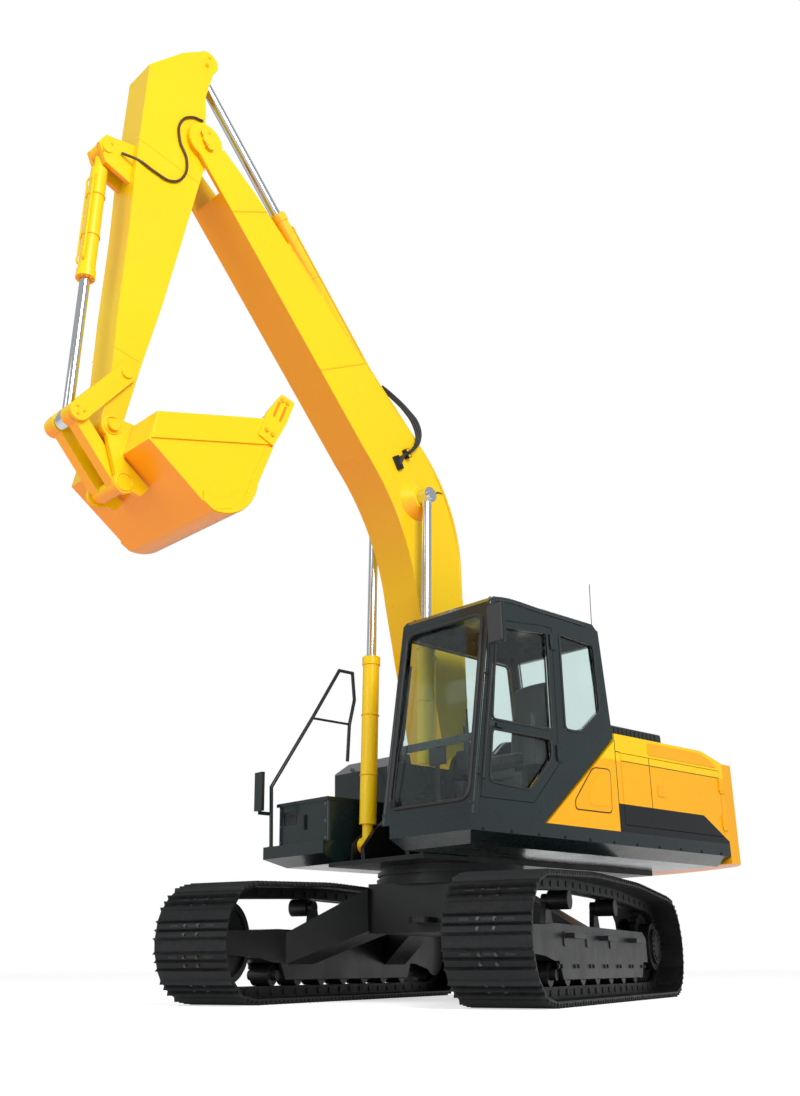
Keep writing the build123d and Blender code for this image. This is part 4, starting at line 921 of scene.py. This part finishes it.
def dressBoom(b):
    half, wide, lean = b["half"], b["seamHalf"], b["seamLean"]
    beads = [[(u - wide, footOfBoom(u)), (u + wide, footOfBoom(u)), (u + wide - lean, topOfBoom(u)),
              (u - wide - lean, topOfBoom(u))] for u in b["seams"]]
    sidePlates("boomWeld", beads, half - 2, half + 2.5, onBoom, tailYellow, "boom", "body_yellow", 0)
    for side, tag in ((1, "Left"), (-1, "Right")):
        hoses = [[onBoom(u - slip * k * b["drop"], v + fall * k * b["drop"], side * (y + fan * k * b["fan"]))
                  for u, v, y, fall, fan, slip in b["hoseRoute"]] for k in range(b["hoses"])]
        tubePiece("boomHoses" + tag, hoses, b["hose"], rubberBlack, "boom")
        grease = [onBoom(u, v, side * y) for u, v, y in b["greaseRoute"]]
        tubePiece("boomGrease" + tag, [grease], b["grease"], rubberBlack, "boom")
    for name, corners, radius, inner, outer, paint, slot, bevel in (
            ("hoseClamp", b["clamp"], 14, -1, 46, chassisBlack, "chassis_black", 4),
            ("hosePort", b["port"], 12, -1, 26, chassisBlack, "chassis_black", 3),
            ("tipKeeper", b["keeper"], 32, 20, 32, bodyYellow, "body_yellow", 3)):
        sidePlates(name, [roundedOutline(corners, radius)], half + inner, half + outer, onBoom, paint, "boom",
                   slot, bevel)
    bolts = bothSides(onBoom, circleSpots(b["tip"], 0, 62, 2, 0.6), half + 30)
    bolts += bothSides(onBoom, ((2647, 878), (2703, 878)), half + 46)
    bolts += bothSides(onBoom, circleSpots(*b["boss"], 132, 2, 0.9), 240)
    headsPiece("boomBolts", bolts, b["bolt"], boltYellow, "boom")
    runs = [[onBoom(u, v, y) for u, v in b["footTop"]]
            + [mach(x, y * share, z) for x, z, share in b["footRoute"]] for y in b["footSides"]]
    hoses = linked("footHoses", tubeMesh("footHoses", runs, b["footHose"], False, False), rubberBlack,
                   True)
    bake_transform(hoses)
    blockPiece("valveBlock", b["valve"], engineGrey, "upper", 14)


dressBoom(boomTrim)

armTrim = {
    "half": 160, "hose": 11, "tail": (-847, 191), "rear": (626, 713),
    "route": ((-203, 71, 173), (-158, 173, 173), (-28, 248, 173), (149, 206, 173), (287, 95, 173),
              (456, 76, 173), (584, 158, 173), (612, 316, 173), (606, 463, 166), (600, 600, 110)),
    "beads": [[(395, 540), (405, 540), (405, -70), (395, -70)],
              [(2290, 172), (2300, 172), (2300, -80), (2290, -80)]],
    "keeper": [(-909, 171), (-785, 171), (-785, 211), (-909, 211)],
    "bolt": {"radius": 9, "height": 8, "washer": 13}}


def dressArm(a):
    half = a["half"]
    for name, side in (("armHose", 1), ("armHoseFar", -1)):
        hose = [onArm(u, v, side * y) for u, v, y in a["route"]]
        tubePiece(name, [hose], a["hose"], hoseBrown, "arm")
    sidePlates("armWeld", a["beads"], half - 2, half + 2.5, onArm, bodyYellow, "arm", "body_yellow", 0)
    keeper = roundedOutline(a["keeper"], 18)
    sidePlates("tailKeeper", [keeper], half - 1, half + 9, onArm, bodyYellow, "arm", "body_yellow", 2)
    u, v = a["tail"]
    bolts = bothSides(onArm, ((u - 42, v), (u + 42, v)), half + 9)
    bolts += bothSides(onArm, circleSpots(*a["rear"], 60, 2, 0.4), 95)
    headsPiece("armBolts", bolts, a["bolt"], boltYellow, "arm")


dressArm(armTrim)

# Cylinders: gland bolts, feed pipes and the bands that hold them
ramTrim = {"bolt": {"radius": 7.5, "height": 10, "washer": 9}, "bolts": 10, "pipe": 9, "band": 5,
           "bandShares": (0.36, 0.68), "bandSteps": 24, "port": 0.24, "rise": (0.02, 0.1), "end": 0.22}


def cylinderTrim(name, foot, eye, y, length, radius, body, ports, r):
    ahead = Vector((eye.x - foot.x, 0, eye.z - foot.z)).normalized()
    across, over = Vector((0, 1, 0)), Vector((-ahead.z, 0, ahead.x))
    base = Vector((foot.x, y / 1000, foot.z))
    reach = length / 1000
    bolts = ringOf(base + ahead * reach, across, over, (radius - 10) / 1000, r["bolts"], 0.3)
    headsPiece(name + "Bolts", [(p, ahead) for p in bolts], r["bolt"], boltYellow, body)
    runs = []
    for turn in ports:
        side = across * cos(turn) + over * sin(turn)
        near, far = side * (radius - 8) / 1000, side * (radius + 13) / 1000
        line = ((r["port"], near), (r["port"] + r["rise"][0], far), (r["port"] + r["rise"][1], far),
                (reach - r["end"], far), (reach - r["end"] + 0.07, far), (reach - r["end"] + 0.09, near))
        runs.append([base + ahead * place + out for place, out in line])
    tubePiece(name + "Pipe", runs, r["pipe"], bodyYellow, body)
    bands = [ringOf(base + ahead * (reach * share), across, over, (radius + 3) / 1000, r["bandSteps"])
             for share in r["bandShares"]]
    tubePiece(name + "Bands", bands, r["band"], bodyYellow, body, True, True)


boomRam, boomBoss = jointAt["boom_cylinder_foot"], onBoom(*boomTrim["boss"], 0)
armTail, rodEye = onArm(*armTrim["tail"], 0), jointAt["bucket_link_pivot"]
cylinderTrim("boomRamLeft", boomRam, boomBoss, 345, 1620, 72, "boom_barrels", (0.3,), ramTrim)
cylinderTrim("boomRamRight", boomRam, boomBoss, -345, 1620, 72, "boom_barrels", (pi - 0.3,), ramTrim)
cylinderTrim("armRam", jointAt["arm_cylinder_foot"], armTail, 0, 1995, 76, "arm_barrel",
             (1.1, pi - 1.1), ramTrim)
cylinderTrim("bucketRam", jointAt["bucket_cylinder_foot"], rodEye, 0, 1178, 66, "bucket_barrel",
             (0.9, pi - 0.9), ramTrim)

# Bucket: strips on its sides, cutter slots, bolts, welds round its ears
bucketTrim = {
    "half": 560, "lip": (-1277, 325), "lean": radians(111.4),
    "mouth": [(-150, 27), (-1262, 318), (-1176, 78), (-112, -190)],
    "rimTop": (-1170, 52), "rim": ((-1036, -284), (-903, -526), (-644, -596)),
    "innerTop": (-1104, 30), "inner": ((-974, -268), (-866, -468), (-650, -528)), "arcSteps": 14,
    "slot": (-60, 95), "slotAcross": (-40, -105), "slotHalf": 11,
    "boltSpots": ((-210, -55), (-210, -115), (130, -40), (120, -90)),
    "bolt": {"radius": 15, "height": 13, "washer": 22}, "ears": ((0, 0), (-125, -405)), "earSide": 207,
    "earRing": 66, "earSteps": 28, "bead": 6}


def arcThrough(start, middle, end, steps):
    (ax, ay), (bx, by), (cx, cy) = start, middle, end
    d = 2 * (ax * (by - cy) + bx * (cy - ay) + cx * (ay - by))
    a, b, c = ax * ax + ay * ay, bx * bx + by * by, cx * cx + cy * cy
    ux = (a * (by - cy) + b * (cy - ay) + c * (ay - by)) / d
    uy = (a * (cx - bx) + b * (ax - cx) + c * (bx - ax)) / d
    first, last, halfway = atan2(ay - uy, ax - ux), atan2(cy - uy, cx - ux), atan2(by - uy, bx - ux)
    sweep = (last - first) % (2 * pi)
    if (halfway - first) % (2 * pi) > sweep:
        sweep -= 2 * pi
    r = hypot(ax - ux, ay - uy)
    return [(ux + r * cos(first + sweep * k / steps), uy + r * sin(first + sweep * k / steps))
            for k in range(steps + 1)]


def dressBucket(b):
    half, turn = b["half"], b["lean"]

    def onLip(a, c):  # along and across the lip's plate
        return (b["lip"][0] + a * cos(turn) - c * sin(turn), b["lip"][1] + a * sin(turn) + c * cos(turn))

    rim = [b["rimTop"]] + arcThrough(*b["rim"], b["arcSteps"])
    inner = [b["innerTop"]] + arcThrough(*b["inner"], b["arcSteps"])
    mouth = roundedOutline(b["mouth"], 10)
    sidePlates("mouthStrip", [mouth], half - 2, half + 13, onBucket, bodyYellow, "bucket", "body_yellow", 3)
    sidePlates("edgeBand", [rim + inner[::-1]], half - 2, half + 13, onBucket, bodyYellow, "bucket",
               "body_yellow", 3)
    (a0, a1), wide = b["slot"], b["slotHalf"]
    corners = [[onLip(a0, c - wide), onLip(a1, c - wide), onLip(a1, c + wide), onLip(a0, c + wide)]
               for c in b["slotAcross"]]
    slots = [roundedOutline(slot, 10) for slot in corners]
    sidePlates("cutterSlots", slots, half + 22, half + 25.5, onBucket, cutterShade, "bucket",
               "body_yellow", 0)
    bolts = bothSides(onBucket, [onLip(a, c) for a, c in b["boltSpots"]], half + 24)
    headsPiece("bucketBolts", bolts, b["bolt"], boltYellow, "bucket")
    rings = [[onBucket(*spot, side * b["earSide"]) for spot in circleSpots(x, z, b["earRing"], b["earSteps"])]
             for side in (1, -1) for x, z in b["ears"]]
    tubePiece("earWelds", rings, b["bead"], bodyYellow, "bucket", True, True)


dressBucket(bucketTrim)

linkTrim = {"pins": ((2470, 20), (2960, 264)), "ring": 34, "side": 199,
            "bolt": {"radius": 8, "height": 7, "washer": 11}}
guideBolts = []
for u, v in linkTrim["pins"]:
    guideBolts += bothSides(onArm, circleSpots(u, v, linkTrim["ring"], 3, 0.2), linkTrim["side"])
headsPiece("guideBolts", guideBolts, linkTrim["bolt"], boltYellow, "guide_links")
print("working gear dressed")

# Floor and light
room = {"floor": 240, "tint": (0.80, 0.80, 0.80), "glow": (0.30, 0.60), "sky": 0.47,
        "skyTint": (0.95, 0.97, 1, 1), "aim": (0, 0, 3),
        "lights": (("keyLight", (4.5, 12, 10.5), 7, 1450), ("fillLight", (13, 0, 6), 8, 330),
                   ("backLight", (-10, -8, 10), 7, 330))}


def layFloor(r):
    mesh = bpy.data.meshes.new("floor")
    half = r["floor"] / 2
    corners = [(-half, -half, 0), (half, -half, 0), (half, half, 0), (-half, half, 0)]
    mesh.from_pydata(corners, [], [(0, 1, 2, 3)])
    floor = bpy.data.objects.new("floor", mesh)
    bpy.context.scene.collection.objects.link(floor)
    mat, nodes, links, shader = newMaterial("floorPale")
    pale = tuple(c * 0.985 for c in r["tint"])
    tone = blendColours(nodes, links, noiseOn(nodes, links, 3, 4), r["tint"], pale)
    links.new(tone, shader.inputs["Base Color"])
    shader.inputs["Roughness"].default_value = 0.9
    shader.inputs["Specular IOR Level"].default_value = 0.1
    shader.inputs["Emission Color"].default_value = (1, 1, 1, 1)
    path = nodes.new("ShaderNodeLightPath")  # the floor reads white without lighting the undersides much
    links.new(spread(nodes, links, path.outputs["Is Camera Ray"], *r["glow"], 0, 1),
              shader.inputs["Emission Strength"])
    mesh.materials.append(mat)


def setWorld(r):  # white for what the camera or a view through glass sees, a soft sky for the rest
    world = bpy.data.worlds.new("studio")
    bpy.context.scene.world = world
    world.use_nodes = True
    nodes, links = world.node_tree.nodes, world.node_tree.links
    plain, white = nodes["Background"], nodes.new("ShaderNodeBackground")
    plain.inputs["Color"].default_value = r["skyTint"]
    plain.inputs["Strength"].default_value = r["sky"]
    white.inputs["Color"].default_value = (1, 1, 1, 1)
    white.inputs["Strength"].default_value = 1
    path, seen, mix = (nodes.new("ShaderNode" + kind) for kind in ("LightPath", "Math", "MixShader"))
    seen.operation = "MAXIMUM"
    links.new(path.outputs["Is Camera Ray"], seen.inputs[0])
    links.new(path.outputs["Is Transmission Ray"], seen.inputs[1])
    links.new(seen.outputs[0], mix.inputs[0])
    links.new(plain.outputs[0], mix.inputs[1])
    links.new(white.outputs[0], mix.inputs[2])
    links.new(mix.outputs[0], nodes["World Output"].inputs["Surface"])


def hangLights(r):
    for name, place, size, power in r["lights"]:
        light = bpy.data.lights.new(name, "AREA")
        light.shape = "DISK"
        light.size = size
        light.energy = power
        lampObject = bpy.data.objects.new(name, light)
        bpy.context.scene.collection.objects.link(lampObject)
        lampObject.location = place
        lampObject.rotation_euler = (Vector(r["aim"]) - Vector(place)).to_track_quat("-Z", "Y").to_euler()


layFloor(room)
setWorld(room)
hangLights(room)
bpy.context.scene.view_settings.view_transform = "Standard"
print("room set")
